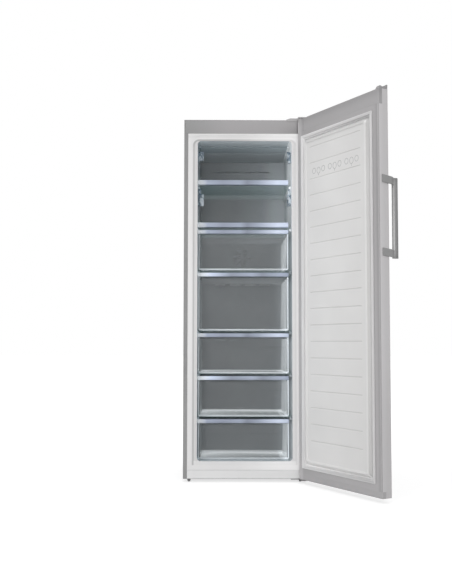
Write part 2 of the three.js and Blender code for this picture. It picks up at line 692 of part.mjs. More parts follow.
// Folded bracket under the front rail, with the pin that carries the door.
function bottomHinge() {
  const top = groundClearance - fit
  const thick = 3.5
  const left = pivotX - 62
  const outline = new THREE.Shape().moveTo(left, 4).lineTo(pivotX - 26, 4).lineTo(pivotX - 13, pivotY)
    .absarc(pivotX, pivotY, 13, Math.PI, 2 * Math.PI).lineTo(pivotX + 13, 10).lineTo(pivotX + 13, railBack)
    .lineTo(left, railBack)
  const plate = cut(prism(outline, 'z', top - thick, top, 6),
    rod('z', [halfWidth - footInset, footSetback], footRadius + 1, 0, top + 1))
  const pin = rod('z', [pivotX, pivotY], hingePinRadius, top - 1, doorBottom + hingePinLength)
  const packer = cut(block([left + 4, pivotX + 4], [railFront + 6, railBack - 4], [top - 1, railBottom - fit]),
    rod('z', [halfWidth - footInset, footSetback], footRadius + 1, 0, railBottom))
  return join(plate, pin, packer)
}

// ---------------------------------------------------------------- door, drawn closed
function doorPlan(inset) {
  const [left, right] = [-halfWidth + inset, halfWidth - inset]
  const [front, rear] = [doorFront + inset, doorInner - inset]
  const free = doorEdgeRadius - inset
  const hinged = hingeEdgeRadius - inset
  return new THREE.Shape().moveTo(left, rear).lineTo(left, front + free)
    .absarc(left + free, front + free, free, Math.PI, 1.5 * Math.PI).lineTo(right - hinged, front)
    .absarc(right - hinged, front + hinged, hinged, -Math.PI / 2, 0).lineTo(right, rear)
}

function sealOutline(inset, radius) {
  return rectangle([-sealHalf + inset, sealHalf - inset], [sealBottom + inset, sealTop - inset], radius)
}

const capFace = (low, high) => block([-halfWidth - 1, halfWidth + 1],
  [doorInner - capFaceDepth, doorInner + 1], [low, high])

// Brushed steel front, wrapped round both edges and folded back onto the inner face.
const lipTop = doorTop + frontLip
function doorSkin() {
  const outer = common(prism(doorPlan(0), 'z', doorBottom, lipTop),
    prism(rectangle([-halfWidth, halfWidth], [doorBottom, lipTop], 0, lipCorner), 'y', doorFront - 1, doorInner + 1))
  const shell = cut(outer, prism(doorPlan(steel), 'z', doorBottom - 1, lipTop + 1))
  const window = prism(sealOutline(4, 10), 'y', doorInner - 2 * steel, doorInner + 1)
  const display = block([-displayWidth / 2 - fit, displayWidth / 2 + fit], [doorFront - 1, doorFront + 2 * steel],
    [displayTop - displayHeight - fit, displayTop + fit])
  const sideTops = prism(outlineOf([[doorFront + 4, lipTop + 1], [doorFront + 8, doorTop + 4],
    [doorFront + 20, doorTop + 2.5], [doorInner + 1, doorTop + 2.5], [doorInner + 1, lipTop + 1]]), 'x',
    -halfWidth - 1, halfWidth + 1)
  return cut(shell, window, display, sideTops, capFace(topCapBottom, lipTop + 1), capFace(0, bottomCapTop))
}

// Moulded end cap: it fills the steel wrap and comes out to the inner face.
function endCap(low, high, gapLow, gapHigh) {
  const inside = prism(doorPlan(steel + fit), 'z', low + gapLow, high - gapHigh)
  const face = prism(rectangle([-halfWidth, halfWidth], [doorInner - capFaceDepth + fit, doorInner], 0, 2),
    'z', low + gapLow, high - gapHigh)
  return join(inside, face)
}

// Raised ends of the top cap: the free end rises to a rounded corner, the hinge end stays low.
function topCurb(side) {
  const rear = doorInner - 1
  const front = doorFront + steel + fit
  const low = doorTop - 1
  const free = doorTop + curbHeight
  const section = side < 0
    ? [[front, low], [rear, low], [rear, doorTop + 5], [rear - 3, free - 3], [rear - 7, free], [rear - 12, free - 0.5],
      [rear - 26, free - 4], [front + lipThickness + 6, lipTop - 9], [front + lipThickness, lipTop - 1.5], [front, lipTop - 1.5]]
    : [[front, low], [rear, low], [rear, doorTop + hingeCurbHeight], [front, doorTop + hingeCurbHeight]]
  const [from, to] = side < 0 ? [-halfWidth, -halfWidth + curbLength] : [halfWidth - curbLength, halfWidth]
  const slope = side < 0
    ? prism(outlineOf([[-halfWidth, low], [-halfWidth + curbLength, low], [-halfWidth + curbLength - 8, lipTop],
      [-halfWidth, lipTop]]), 'y', doorFront, doorInner)
    : null
  const wall = common(prism(outlineOf(section), 'x', from, to), endCap(doorTop - 1, lipTop, 0, 0))
  return slope ? common(wall, slope) : wall
}

// Rib along the front of the top cap, behind the steel's upper edge.
function topRib() {
  const high = lipTop - 1.5
  const plan = prism(doorPlan(steel + fit), 'z', doorTop - 1, high)
  return common(plan, prism(rectangle([-halfWidth + steel + fit, halfWidth - steel - fit], [doorTop - 1, high], 0, lipCorner),
    'y', doorFront, doorFront + lipThickness))
}

function topCap() {
  const bore = rod('z', [pivotX, pivotY], hingePinRadius + turnGap, doorTop - hingePinLength - 2, doorTop + 20)
  return cut(join(endCap(topCapBottom, doorTop, fit, 0), topRib(), topCurb(-1), topCurb(1)), bore)
}

function bottomCap() {
  const bore = rod('z', [pivotX, pivotY], hingePinRadius + turnGap, doorBottom - 1, doorBottom + hingePinLength + 2)
  return cut(endCap(doorBottom, bottomCapTop, 0, fit), bore)
}

// The raised inner panel's form, drawn `inset` inside its outer surface.
const linerBack = doorInner - steel - fit
const linerWall = plastic + panelRimHeight + 0.5
function raisedPanel(inset) {
  const base = sealOutline(panelInset + inset, 14)
  const crown = sealOutline(panelInset + panelSlope + inset, 20)
  return loft(base, crown, 'y', linerBack - plastic - 1, doorInner + panelRise - inset, 4)
}

// White formed inner panel with a raised rim and a ladder of shallow grooves.
function doorLiner() {
  const flange = prism(sealOutline(-6, 12), 'y', linerBack - plastic, linerBack)
  const crown = doorInner + panelRise
  const field = prism(sealOutline(panelInset + panelSlope + panelRim, 14), 'y', crown - panelRimHeight, crown + 1)
  const floor = crown - panelRimHeight
  const grooves = []
  for (let i = 0; i < grooveCount; i++) {
    const z = lowestGroove + i * groovePitch
    const section = outlineOf([[floor - grooveDepth, z - grooveWidth / 4], [floor + 1, z - grooveWidth / 2 - 1],
      [floor + 1, z + grooveWidth / 2 + 1], [floor - grooveDepth, z + grooveWidth / 4]])
    grooves.push(prism(section, 'x', -grooveHalfLength, grooveHalfLength))
  }
  const rear = block([-halfWidth, halfWidth], [doorFront, linerBack - plastic], [doorBottom, doorTop])
  return cut(join(flange, raisedPanel(0)), field, ...grooves, raisedPanel(linerWall), rear)
}

// Rigid foam inside the door, standing up into the raised panel.
function doorFoam() {
  const behindLiner = block([-halfWidth, halfWidth], [linerBack - plastic - fit, doorInner + 1], [doorBottom, doorTop])
  const slab = cut(prism(doorPlan(steel + fit), 'z', bottomCapTop + fit, topCapBottom - fit), behindLiner)
  const pocket = block([-displayWidth / 2 - fit, displayWidth / 2 + fit],
    [doorFront, doorFront + steel + displayHousingDepth + fit], [displayTop - displayHeight - fit, displayTop + fit])
  return cut(join(slab, raisedPanel(linerWall + 2 * fit)), pocket)
}

// Soft magnetic seal: a closed frame with a bulged face towards the cabinet.
function doorSeal() {
  const base = doorInner + fit
  const face = -2 * fit
  const ring = cut(prism(sealOutline(0, 12), 'y', base, face), prism(sealOutline(sealWidth, 3), 'y', base - 1, face + 1))
  const channel = cut(prism(sealOutline(sealWidth * 0.3, 9), 'y', (base + face) / 2 + 1, face + 1),
    prism(sealOutline(sealWidth * 0.7, 5), 'y', base - 1, face + 2))
  return cut(ring, channel)
}

function displayGlass() {
  const half = displayWidth / 2
  const low = displayTop - displayHeight
  return join(prism(rectangle([-half, half], [low, displayTop], 2), 'y', doorFront - 0.6, doorFront + steel),
    block([-half + 3, half - 3], [doorFront + steel - 0.5, doorFront + steel + displayHousingDepth],
      [low + 3, displayTop - 3]))
}

// ---------------------------------------------------------------- handle
const gripX = -halfWidth + gripInset
const gripY = doorFront - gripReach

function gripOutline(grow) {
  return new THREE.Shape().absellipse(gripX, gripY, gripWidth / 2 + grow, gripDepth / 2 + grow, 0, 2 * Math.PI)
}

// Flat arm: it lies along the door's edge, then curves in front of the door to the grip.
function handleArm(height) {
  const outerX = -halfWidth - fit - armThickness
  const bendY = doorFront - 6
  const endY = gripY
  const flatX = outerX + armThickness / 2
  const curve = new THREE.CubicBezierCurve(new THREE.Vector2(flatX, bendY), new THREE.Vector2(flatX, bendY - 12),
    new THREE.Vector2(gripX, endY + 14), new THREE.Vector2(gripX, endY))
  const middle = [new THREE.Vector2(flatX, doorInner - armStart), ...curve.getPoints(8)]
  const side = (sign) => middle.map((point, i) => {
    const ahead = middle[Math.min(i + 1, middle.length - 1)]
    const behind = middle[Math.max(i - 1, 0)]
    const run = ahead.clone().sub(behind).normalize()
    const thickness = armThickness * (1 + 0.5 * i / middle.length)
    return point.clone().add(new THREE.Vector2(-run.y, run.x).multiplyScalar(sign * thickness / 2))
  })
  const strip = new THREE.Shape([...side(-1), ...side(1).reverse()])
  const arm = new THREE.ExtrudeGeometry(strip, { depth: armHeight, bevelEnabled: false })
  arm.translate(0, 0, height - armHeight / 2)
  const spot = arm.attributes.position
  for (let i = 0; i < spot.count; i++) {
    const share = THREE.MathUtils.clamp((doorInner - armStart - spot.getY(i)) / (doorInner - armStart - endY), 0, 1)
    spot.setZ(i, spot.getZ(i) - armDrop * share)
  }
  const keep = prism(gripOutline(fit), 'z', height - armHeight - armDrop, height + armHeight, 10)
  const beyond = block([-halfWidth - 40, halfWidth], [gripY - 60, gripY], [height - 60, height + 60])
  const edge = block([-halfWidth - fit, -halfWidth + 40], [doorFront - fit, doorInner + 1], [height - 60, height + 60])
  return cut(solid(arm), keep, beyond, edge)
}

function handleGrip() {
  const half = armHeight / 2
  return prism(gripOutline(0), 'z', lowerArmHeight - armDrop - half, upperArmHeight - armDrop + half, 10)
}

// Blanking cap over the handle's screw holes on the hinge side.
function blankingCap(height) {
  const outline = rectangle([doorInner - 31, doorInner - 19], [height - 13, height + 13], 5.5)
  return prism(outline, 'x', halfWidth + fit, halfWidth + 1.8, 4)
}

// ---------------------------------------------------------------- assembly
const freezer = new THREE.Group()

function add(name, shape, material, parent = freezer) {
  const geometry = shape.isBufferGeometry ? shape : geometryOf(shape)
  const mesh = new THREE.Mesh(geometry, material)
  mesh.name = name
  parent.add(mesh)
  return mesh
}

add('outer_shell', outerShell(), paintedSteel)
add('top_band', topBand(), paintedSteel)
add('inner_liner', innerLiner(), linerWhite)
add('cabinet_foam', cabinetFoam(), foamCream)
add('floor_sheet', floorSheet(), zincSteel)
add('back_panel', backPanel(), zincSteel)
add('front_rail', frontRail(), zincSteel)
add('plinth', plinth(), linerWhite)
add('base_tray', baseTray(), zincSteel)
add('duct_cover', ductCover(), linerWhite)
add('evaporator', evaporator(), aluminium)
add('fan_motor', fanMotor(), darkPlastic)
add('compressor', compressor(), blackEnamel)
add('drain_pan', drainPan(), darkPlastic)
add('refrigerant_pipe', refrigerantPipe(), copper)
add('bay_cover', bayCover(), zincSteel)
add('top_hinge', topHinge(), zincSteel)
add('top_hinge_cover', hingeCover(), capGrey)
add('bottom_hinge', bottomHinge(), zincSteel)

const fan = add('fan_blade', fanBlade(), darkPlastic)
fan.position.set(0, (bladeFront + bladeBack) / 2, fanHeight)

for (const [side, name] of [[-1, 'left'], [1, 'right']]) {
  const foot = add(`front_foot_${name}`, levellingFoot(), darkPlastic)
  foot.position.set(side * (halfWidth - footInset), footSetback, 0)
  const roller = add(`rear_roller_${name}`, rearRoller(), darkPlastic)
  roller.position.set(side * (halfWidth - rollerInset), rollerY, rollerRadius)
}

// Shelves are counted from the top, and so are the flaps and drawers under or behind them.
const downward = [...ledgeLevels].reverse()
downward.forEach((level, i) => add(`shelf_${i + 1}`, glassShelf(level), clearGlass))

for (const [i, level] of downward.slice(0, 2).entries()) {
  add(`flap_${i + 1}`, flapPanel(level), clearPlastic)
  add(`flap_trim_${i + 1}`, frontTrim(level + flapRaise + flapTrimHeight, -1, flapTrimHeight), trimSilver)
  add(`flap_pivot_${i + 1}_left`, pivotBlock(level, -1), clearPlastic)
  add(`flap_pivot_${i + 1}_right`, pivotBlock(level, 1), clearPlastic)
}

for (let i = 0; i < 5; i++) {
  const roof = downward[i + 1]
  const shelfBelow = downward[i + 2]
  const floor = shelfBelow === undefined ? openingBottom : shelfBelow + fit + shelfGlass
  const back = (shelfBelow === undefined ? stepFront : ductFront) - runningGap
  const railTall = shelfBelow === undefined ? lowestRailHeight : railHeight
  const trimTop = roof - trimBelowShelf
  add(`drawer_${i + 1}`, drawerTub(floor, trimTop, back, railTall), clearPlastic)
  add(`drawer_trim_${i + 1}`, frontTrim(trimTop - trimHeight, 1, trimHeight), trimSilver)
}

// The door's pieces are drawn closed, about the hinge pins, and the whole door then swings open.
const door = new THREE.Group()
door.position.set(pivotX, pivotY, 0)
door.rotation.z = THREE.MathUtils.degToRad(openAngle)
const leaf = new THREE.Group()
leaf.position.set(-pivotX, -pivotY, 0)
door.add(leaf)
freezer.add(door)

add('door_skin', doorSkin(), brushedSteel, leaf)
add('door_foam', doorFoam(), foamCream, leaf)
add('door_liner', doorLiner(), linerWhite, leaf)
add('door_seal', doorSeal(), sealGrey, leaf)
add('door_top_cap', topCap(), capGrey, leaf)
add('door_bottom_cap', bottomCap(), capGrey, leaf)
add('display_glass', displayGlass(), blackGlass, leaf)
add('handle_grip', handleGrip(), handleGrey, leaf)
add('handle_arm_upper', handleArm(upperArmHeight), handleGrey, leaf)
add('handle_arm_lower', handleArm(lowerArmHeight), handleGrey, leaf)
add('blanking_cap_upper', blankingCap(upperArmHeight), capGrey, leaf)
add('blanking_cap_lower', blankingCap(lowerArmHeight), capGrey, leaf)

// The origin is on the floor, in the middle of the area that the open freezer takes.
freezer.updateMatrixWorld(true)
const reach = new THREE.Box3().setFromObject(freezer, true)
freezer.position.set(-(reach.min.x + reach.max.x) / 2, -(reach.min.y + reach.max.y) / 2, -reach.min.z)
freezer.updateMatrixWorld(true)

export default freezer
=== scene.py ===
# Upright freezer with its door open at 120 degrees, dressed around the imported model.
# Sizes are in millimetres of the cabinet: X from its middle, Y back from its front
# face, Z up from the floor. at() and ajar() turn them into metres of the model.
from math import cos, pi, radians, sin, sqrt

import bmesh
import bpy
from mathutils import Matrix, Vector


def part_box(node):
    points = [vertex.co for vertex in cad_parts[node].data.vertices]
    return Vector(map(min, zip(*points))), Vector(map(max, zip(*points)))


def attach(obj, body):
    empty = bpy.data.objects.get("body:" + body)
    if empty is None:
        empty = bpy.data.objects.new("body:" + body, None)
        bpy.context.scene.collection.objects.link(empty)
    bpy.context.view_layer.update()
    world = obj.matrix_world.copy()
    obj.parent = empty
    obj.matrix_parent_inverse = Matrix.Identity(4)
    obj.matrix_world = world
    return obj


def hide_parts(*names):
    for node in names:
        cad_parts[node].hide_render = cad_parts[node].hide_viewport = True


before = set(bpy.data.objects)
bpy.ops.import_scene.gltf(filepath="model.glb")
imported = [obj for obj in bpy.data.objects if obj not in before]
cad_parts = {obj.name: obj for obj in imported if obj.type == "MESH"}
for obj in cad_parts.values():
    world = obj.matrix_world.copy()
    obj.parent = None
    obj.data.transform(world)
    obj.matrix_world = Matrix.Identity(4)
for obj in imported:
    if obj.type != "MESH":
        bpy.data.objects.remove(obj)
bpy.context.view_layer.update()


# ---- Studio ----
# White surroundings with a pale floor. Three soft lamps stand in front, the strongest at
# the left, one hangs above and one stands behind. The camera is fitted to the cabinet.
def linear(code):
    """A colour written as six hexadecimal digits, in the renderer's linear numbers."""
    parts = [int(code[i:i + 2], 16) / 255 for i in (0, 2, 4)]
    return tuple(p / 12.92 if p <= 0.04045 else ((p + 0.055) / 1.055) ** 2.4
                 for p in parts) + (1.0,)


shell_low, shell_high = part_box("outer_shell")
corner = Vector(((shell_low.x + shell_high.x) / 2, shell_low.y, 0))


def at(x, y, z):
    return corner + Vector((x, y, z)) / 1000


class Wire:
    """One socket of a finish, so that sums on it read as plain arithmetic."""

    def __init__(self, finish, socket):
        self.finish, self.socket = finish, socket

    def __getitem__(self, name):
        outputs = self.socket.node.outputs
        return Wire(self.finish, next(s for s in outputs if name in (s.identifier, s.name)))

    def maths(self, operation, a, b=0.0):
        return self.finish.add("Math", {"operation": operation}, {0: a, 1: b})

    def __add__(self, other):
        return self.maths("ADD", self, other)

    __radd__ = __add__

    def __sub__(self, other):
        return self.maths("SUBTRACT", self, other)

    def __rsub__(self, other):
        return self.maths("SUBTRACT", other, self)

    def __mul__(self, other):
        return self.maths("MULTIPLY", self, other)

    __rmul__ = __mul__

    def __truediv__(self, other):
        return self.maths("DIVIDE", self, other)

    def __rtruediv__(self, other):
        return self.maths("DIVIDE", other, self)

    def __pow__(self, other):
        return self.maths("POWER", self, other)

    def __abs__(self):
        return self.maths("ABSOLUTE", self)

    def __lt__(self, other):
        return self.maths("LESS_THAN", self, other)

    def __gt__(self, other):
        return self.maths("GREATER_THAN", self, other)

    def __mod__(self, other):
        return self.maths("FLOORED_MODULO", self, other)


class Finish:
    """A material under construction; add() is the one way in which it gets nodes."""

    def __init__(self, name=None, owner=None):
        self.owner = owner or bpy.data.materials.new(name)
        self.owner.use_nodes = True
        self.tree = self.owner.node_tree
        self.tree.nodes.clear()

    def add(self, kind, settings=None, sockets=None):
        node = self.tree.nodes.new("ShaderNode" + kind)
        for key, value in (settings or {}).items():
            if key == "stops":
                ramp = node.color_ramp.elements
                while len(ramp) < len(value):
                    ramp.new(0.5)
                for stop, (place, colour) in zip(ramp, value):
                    stop.position, stop.color = place, colour
            else:
                setattr(node, key, value)
        for key, value in (sockets or {}).items():
            socket = node.inputs[key] if isinstance(key, int) else next(
                s for s in node.inputs if key in (s.identifier, s.name) and s.enabled)
            if isinstance(value, Wire):
                self.tree.links.new(value.socket, socket)
            else:
                socket.default_value = value
        return Wire(self, next(s for s in node.outputs if s.enabled)) if node.outputs else node

    def most(self, a, b):
        return self.add("Math", {"operation": "MAXIMUM"}, {0: a, 1: b})

    def least(self, a, b):
        return self.add("Math", {"operation": "MINIMUM"}, {0: a, 1: b})

    def place(self):
        """Where a point of the surface is in the piece itself, in metres of the model."""
        return self.add("TexCoord")["Object"]

    def upward(self):
        """How far a face looks up: 1 for a floor, 0 for a wall, -1 for an underside."""
        return self.add("SeparateXYZ", None, {0: self.add("NewGeometry")["Normal"]})["Z"]

    def noise(self, scale, detail=2.0, stretch=None):
        """Soft random values around 0.5; stretch squeezes the pattern along an axis."""
        where = self.place()
        if stretch:
            where = self.add("VectorMath", {"operation": "MULTIPLY"}, {0: where, 1: stretch})
        return self.add("TexNoise", None, {"Vector": where, "Scale": scale, "Detail": detail})

    def span(self, value, low, high, start=0.0, end=1.0, smooth=True):
        """Value from low to high becomes start to end, and stays there outside."""
        return self.add("MapRange", {"interpolation_type": "SMOOTHSTEP" if smooth else "LINEAR"},
                        {"Value": value, "From Min": low, "From Max": high,
                         "To Min": start, "To Max": end})

    def blend(self, factor, a, b, kind="MIX"):
        return self.add("Mix", {"data_type": "RGBA", "blend_type": kind},
                        {"Factor_Float": factor, "A_Color": a, "B_Color": b})["Result_Color"]

    def ramp(self, along, stops):
        """Colours at places from 0 to 1; the stops are pairs of a place and a colour's code."""
        return self.add("ValToRGB", {"stops": [(stop, linear(code)) for stop, code in stops]},
                        {"Fac": along})

    def bump(self, height, depth):
        """Relief of that depth in metres."""
        return self.add("Bump", None, {"Height": height, "Distance": depth, "Strength": 1.0})

    def skin(self, **sockets):
        """The surface shader, with the values and links of its own sockets."""
        named = {key.replace("_", " "): value for key, value in sockets.items()}
        self.add("OutputMaterial", None, {"Surface": self.add("BsdfPrincipled", None, named)})
        return self.owner


def looked_at(finish):
    """1 for what is seen, also through glass or in gloss, and 0 for light cast on things."""
    rays = finish.add("LightPath")
    direct = finish.most(rays["Is Camera Ray"], rays["Is Transmission Ray"])
    return finish.most(direct, rays["Is Glossy Ray"])


world = Finish(owner=bpy.data.worlds.new("studio"))
bpy.context.scene.world = world.owner
seen = looked_at(world)
dim = world.add("Background", None, {"Color": (0.985, 0.99, 1.0, 1.0), "Strength": 0.5})
white = world.add("Background", None, {"Color": (1.0, 1.0, 1.0, 1.0), "Strength": 1.0})
sky = world.add("MixShader", None, {0: seen, 1: dim, 2: white})
world.add("OutputWorld", None, {"Surface": sky})

floor_reach = 40.0
floor_drop = 0.0005  # keeps the feet's faces clear of the floor
floor_mesh = bpy.data.meshes.new("floor")
floor_mesh.from_pydata([(x * floor_reach, y * floor_reach, 0)
                        for x, y in ((-1, -1), (1, -1), (1, 1), (-1, 1))], [], [(0, 1, 2, 3)])
floor = bpy.data.objects.new("floor", floor_mesh)
bpy.context.scene.collection.objects.link(floor)
floor.location.z = -floor_drop
paint = Finish("floor_paint")
seen = looked_at(paint)
distance = paint.add("VectorMath", {"operation": "LENGTH"}, {0: paint.place()})["Value"]
away = paint.span(distance, 0.8, 1.7)
grey = 0.5 - 0.4 * away * seen
matt = paint.add("BsdfDiffuse", None,
                 {"Color": paint.add("CombineColor", None, {0: grey, 1: grey, 2: grey})})
glow = paint.add("Emission", None, {"Color": (1.0, 1.0, 1.0, 1.0),
                                    "Strength": seen * (0.66 + 0.36 * away)})
paint.add("OutputMaterial", None, {"Surface": paint.add("AddShader", None, {0: matt, 1: glow})})
floor_mesh.materials.append(paint.owner)


def soft_lamp(name, place, size, power):
    """A lamp with a rectangular face, turned to the object's middle."""
    lamp = bpy.data.lights.new(name, "AREA")
    lamp.shape, lamp.size, lamp.size_y, lamp.energy = "RECTANGLE", size[0], size[1], power
    holder = bpy.data.objects.new(name, lamp)
    bpy.context.scene.collection.objects.link(holder)
    holder.location = place
    holder.rotation_euler = (at(100, 0, 900) - holder.location).to_track_quat("-Z", "Y").to_euler()


soft_lamp("front_left_lamp", (-2.8, -4.0, 2.2), (2.6, 2.6), 85)
soft_lamp("front_lamp", (-0.4, -5.2, 0.9), (2.6, 1.6), 40)
soft_lamp("front_right_lamp", (1.7, -4.9, 1.7), (1.6, 2.6), 30)
soft_lamp("top_lamp", (-0.3, -0.6, 4.6), (3.0, 3.0), 30)
soft_lamp("rear_lamp", (0.4, 4.6, 3.0), (3.0, 2.4), 70)

camera_place = at(-110.72, -4027.78, 666.27)
pitch, yaw, roll = radians(3.537), radians(-0.277), radians(0.072)
ahead = Vector((-sin(yaw) * cos(pitch), cos(yaw) * cos(pitch), sin(pitch)))
right = Vector((cos(yaw), sin(yaw), 0))
up = right.cross(ahead)
right, up = cos(roll) * right + sin(roll) * up, cos(roll) * up - sin(roll) * right
lens = bpy.data.cameras.new("camera")
lens.lens, lens.sensor_width, lens.clip_end = 51.103, 36.0, 100.0
camera = bpy.data.objects.new("camera", lens)
bpy.context.scene.collection.objects.link(camera)
camera.matrix_world = Matrix.Translation(camera_place) @ Matrix(
    (right, up, -ahead)).transposed().to_4x4()
bpy.context.scene.camera = camera
bpy.context.scene.view_settings.view_transform = "Standard"


# ---- Steel wrap ----
# Sides and top are one folded sheet of pre-coated steel in silver grey, foamed to the
# liner inside. The coat is satin with a very fine orange peel and hardly any sheen.
def dress(node, finish):
    """Gives a carried-over CAD node its finish."""
    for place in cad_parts[node].material_slots:
        place.material = finish


def cabinet_mm(finish):
    """Where a point is in the cabinet, in millimetres, as three numbers."""
    moved = finish.add("VectorMath", {"operation": "SUBTRACT"},
                       {0: finish.place(), 1: tuple(corner)})
    scaled = finish.add("VectorMath", {"operation": "SCALE"}, {0: moved, "Scale": 1000.0})
    parts = finish.add("SeparateXYZ", None, {0: scaled})
    return parts["X"], parts["Y"], parts["Z"]


def tinted(finish, base, tone):
    """A colour made lighter or darker by a factor."""
    grey = finish.add("CombineColor", None, {0: tone, 1: tone, 2: tone})
    return finish.blend(1.0, base, grey, "MULTIPLY")


def coat(finish, colour, roughness=0.44, metal=0.2):
    """Satin paint on steel: slight clouds, metallic specks and orange peel."""
    cloud = finish.span(finish.noise(3.0, 3.0), 0.3, 0.7, 0.985, 1.015)
    speck = finish.span(finish.noise(900.0, 1.0), 0.2, 0.8, 0.985, 1.015)
    return finish.skin(Base_Color=tinted(finish, colour, cloud * speck), Metallic=metal,
                       Roughness=finish.span(finish.noise(40.0), 0.3, 0.7,
                                             roughness - 0.04, roughness + 0.04),
                       Normal=finish.bump(finish.noise(420.0), 0.00002))


wrap = Finish("shell_coat")
x, y, z = cabinet_mm(wrap)
# Painted light and shade on the front edges: dark at the left, light at the right, and lighter near
# the foot and the top than between.
painted_edge_light = wrap.blend(wrap.span(x, -200.0, 200.0), linear("7E7E7E"), linear("C9C8C8"))
painted_edge_light = tinted(wrap, painted_edge_light, wrap.span(z, 100.0, 700.0, 1.16, 0.92)
                    * wrap.span(z, 1000.0, 1650.0, 1.0, 1.08))
behind_edge = wrap.span(y, 2.0, 9.0)
dress("outer_shell", coat(wrap, wrap.blend(behind_edge, painted_edge_light, linear("B1B0B0"))))

# ---- Front band ----
# A separate strip of the same steel closes the front above the opening. Painted light makes
# it lighter to the right and towards its top, and near the hinge painted shade stands for the
# shade of the hinge cover and the door.
band_foot, cabinet_top = 1697.0, 1765.0
band = Finish("band_coat")
x, _, z = cabinet_mm(band)
# Painted light to the right and towards the top; painted shade by the door and under the hinge
# cover.
along = band.blend(band.span(x, -290.0, -60.0), linear("868686"), linear("959394"))
painted_door_shade = band.span(x, 150.0, 268.0) * band.span(z, 1700.0, 1752.0, 1.0, 0.15)
painted_cover_shade = (band.span(x, 196.0, 214.0) * band.span(x, 244.0, 256.0, 1.0, 0.0)
               * band.span(z, 1750.0, 1758.0))
tone = (band.span(z, band_foot, cabinet_top, 0.955, 1.02)
        * (1.0 - 0.19 * painted_door_shade) * (1.0 - 0.13 * painted_cover_shade))
dress("top_band", coat(band, tinted(band, along, tone)))


# ---- Liner and foam ----
# One sheet of white polystyrene, formed over a mould into flange, seal groove, chest and
# shelf ledges. The flange is glossy; inside, painted shade turns the chest blue-grey.
def gloss_sheet(finish, base, roughness=0.34, glow=None):
    cloud = finish.noise(5.0)
    lit = {"Emission_Color": glow, "Emission_Strength": 1.0} if glow else {}
    tone = finish.span(cloud, 0.3, 0.7, 0.985, 1.015)
    return finish.skin(Base_Color=tinted(finish, base, tone), IOR=1.5,
                       Roughness=finish.span(cloud, 0.3, 0.7, roughness - 0.04, roughness + 0.05),
                       Normal=finish.bump(finish.noise(260.0, 3.0), 0.00003), **lit)


def frame_line(finish, x, z, half, top, radius, width):
    """A line up both sides and across the top with round corners, and the land inside it."""
    across = finish.most(abs(x) - (half - radius), 0.0)
    upward = finish.most(z - (top - radius), 0.0)
    beyond = (across * across + upward * upward) ** 0.5 - radius
    line = 1.0 - finish.span(abs(beyond), width * 0.25, width)
    return line, finish.span(beyond, -4.0, 0.0, 1.0, 0.0)


flange_foot = 57.0
flange_top_line = 1681.0
chest_floor = 102.0  # just above the floor's face
chest_wall = 219.0  # just inside the side walls and their ledges
ceiling_low = 1653.0  # just under the ceiling
ceiling_step = 118.0  # where it drops a little, back from the front

liner_white = Finish("liner_white")
x, y, z = cabinet_mm(liner_white)
span, mix = liner_white.span, liner_white.blend
# Painted light and shade on the flange: lighter towards the hinge side, darker just above its foot
# and towards the top.
flange = mix(span(x, -100.0, 250.0), linear("E1E0E0"), linear("F4F3F3"))
flange = tinted(liner_white, flange, span(z, flange_foot, flange_foot + 5.0, 0.90, 1.02)
                * span(z, 100.0, 500.0, 1.0, 0.97) * span(z, 1500.0, 1690.0, 1.0, 0.95))
# Painted shade on the seal's bed: a dark line along its outer shoulder, and a little over the land
# inside it.
shoulder, land = frame_line(liner_white, x, z, half=250.5, top=1664.0, radius=26.0, width=6.5)
shade = shoulder * (span(x, -150.0, 150.0, 0.36, 0.12) + span(z, 1630.0, 1650.0, 0.0, 0.06))
shade = shade + 0.16 * land * span(z, 98.0, 104.0, 0.2, 1.0)
flange = tinted(liner_white, flange, 1.0 - shade * span(z, 79.0, 84.0))
rim_line, _ = frame_line(liner_white, x, z, half=276.5, top=1698.0, radius=1.0, width=2.5)
flange = tinted(liner_white, flange, (1.0 - 0.06 * rim_line)
                * span(abs(z - flange_top_line), 3.0, 9.0, 0.94, 1.0))
# Painted shade: the chest grows darker towards its back, with a dark line at the ceiling's step
# and a grey floor; painted light keeps its ceiling paler as far as the step.
chest = mix(span(y, 40.0, 470.0), linear("B4BDC1"), linear("7E878B"))
ceiling = mix(span(y, 40.0, 470.0), linear("E6EDF1"), linear("8F9A9F"))
ceiling = tinted(liner_white, ceiling, span(y, 150.0, 330.0, 1.0, 0.78))
step = (abs(y - ceiling_step) < 2.5) * (z > ceiling_low)
chest = mix(step, mix(z > ceiling_low, chest, ceiling), linear("949FA4"))
# Painted light and shade on the side walls: the hinge side is grey low down and near white above
# the drawers, the other side pale blue-grey, both darker towards the back.
hinge_side = mix(span(z, 640.0, 760.0), linear("A8ADB0"), linear("929B9F"))
hinge_side = mix(span(z, 1190.0, 1240.0), hinge_side, linear("FBFDFE"))
side = mix(x > 0.0, linear("C0CCD2"), hinge_side)
side = mix(span(y, 200.0, 460.0), side, linear("A3ADB1"))
chest = mix(abs(x) > chest_wall, chest, side)
chest = mix(z < chest_floor, chest, linear("A9B1B5"))
# Painted light: a faint glow on the hinge-side wall lifts the narrow gap beside the drawers.
gap = (x > chest_wall) * span(y, 4.0, 20.0) * span(y, 150.0, 420.0, 1.0, 0.1)
painted_gap_glow = tinted(liner_white, linear("DFE6EA"), gap * span(z, 1200.0, 1500.0, 0.03, 0.2))
dress("inner_liner", gloss_sheet(liner_white, mix(span(y, 1.0, 6.0), flange, chest),
                                 glow=painted_gap_glow))

foam = Finish("foam_cream")
cells = foam.add("TexVoronoi", None, {"Vector": foam.place(), "Scale": 600.0})["Distance"]
foam_cream = foam.skin(
    Base_Color=foam.blend(foam.noise(12.0, 4.0), linear("E4D9B4"), linear("C9B98A")),
    Roughness=0.9, Normal=foam.bump(cells, 0.0004))
dress("cabinet_foam", foam_cream)


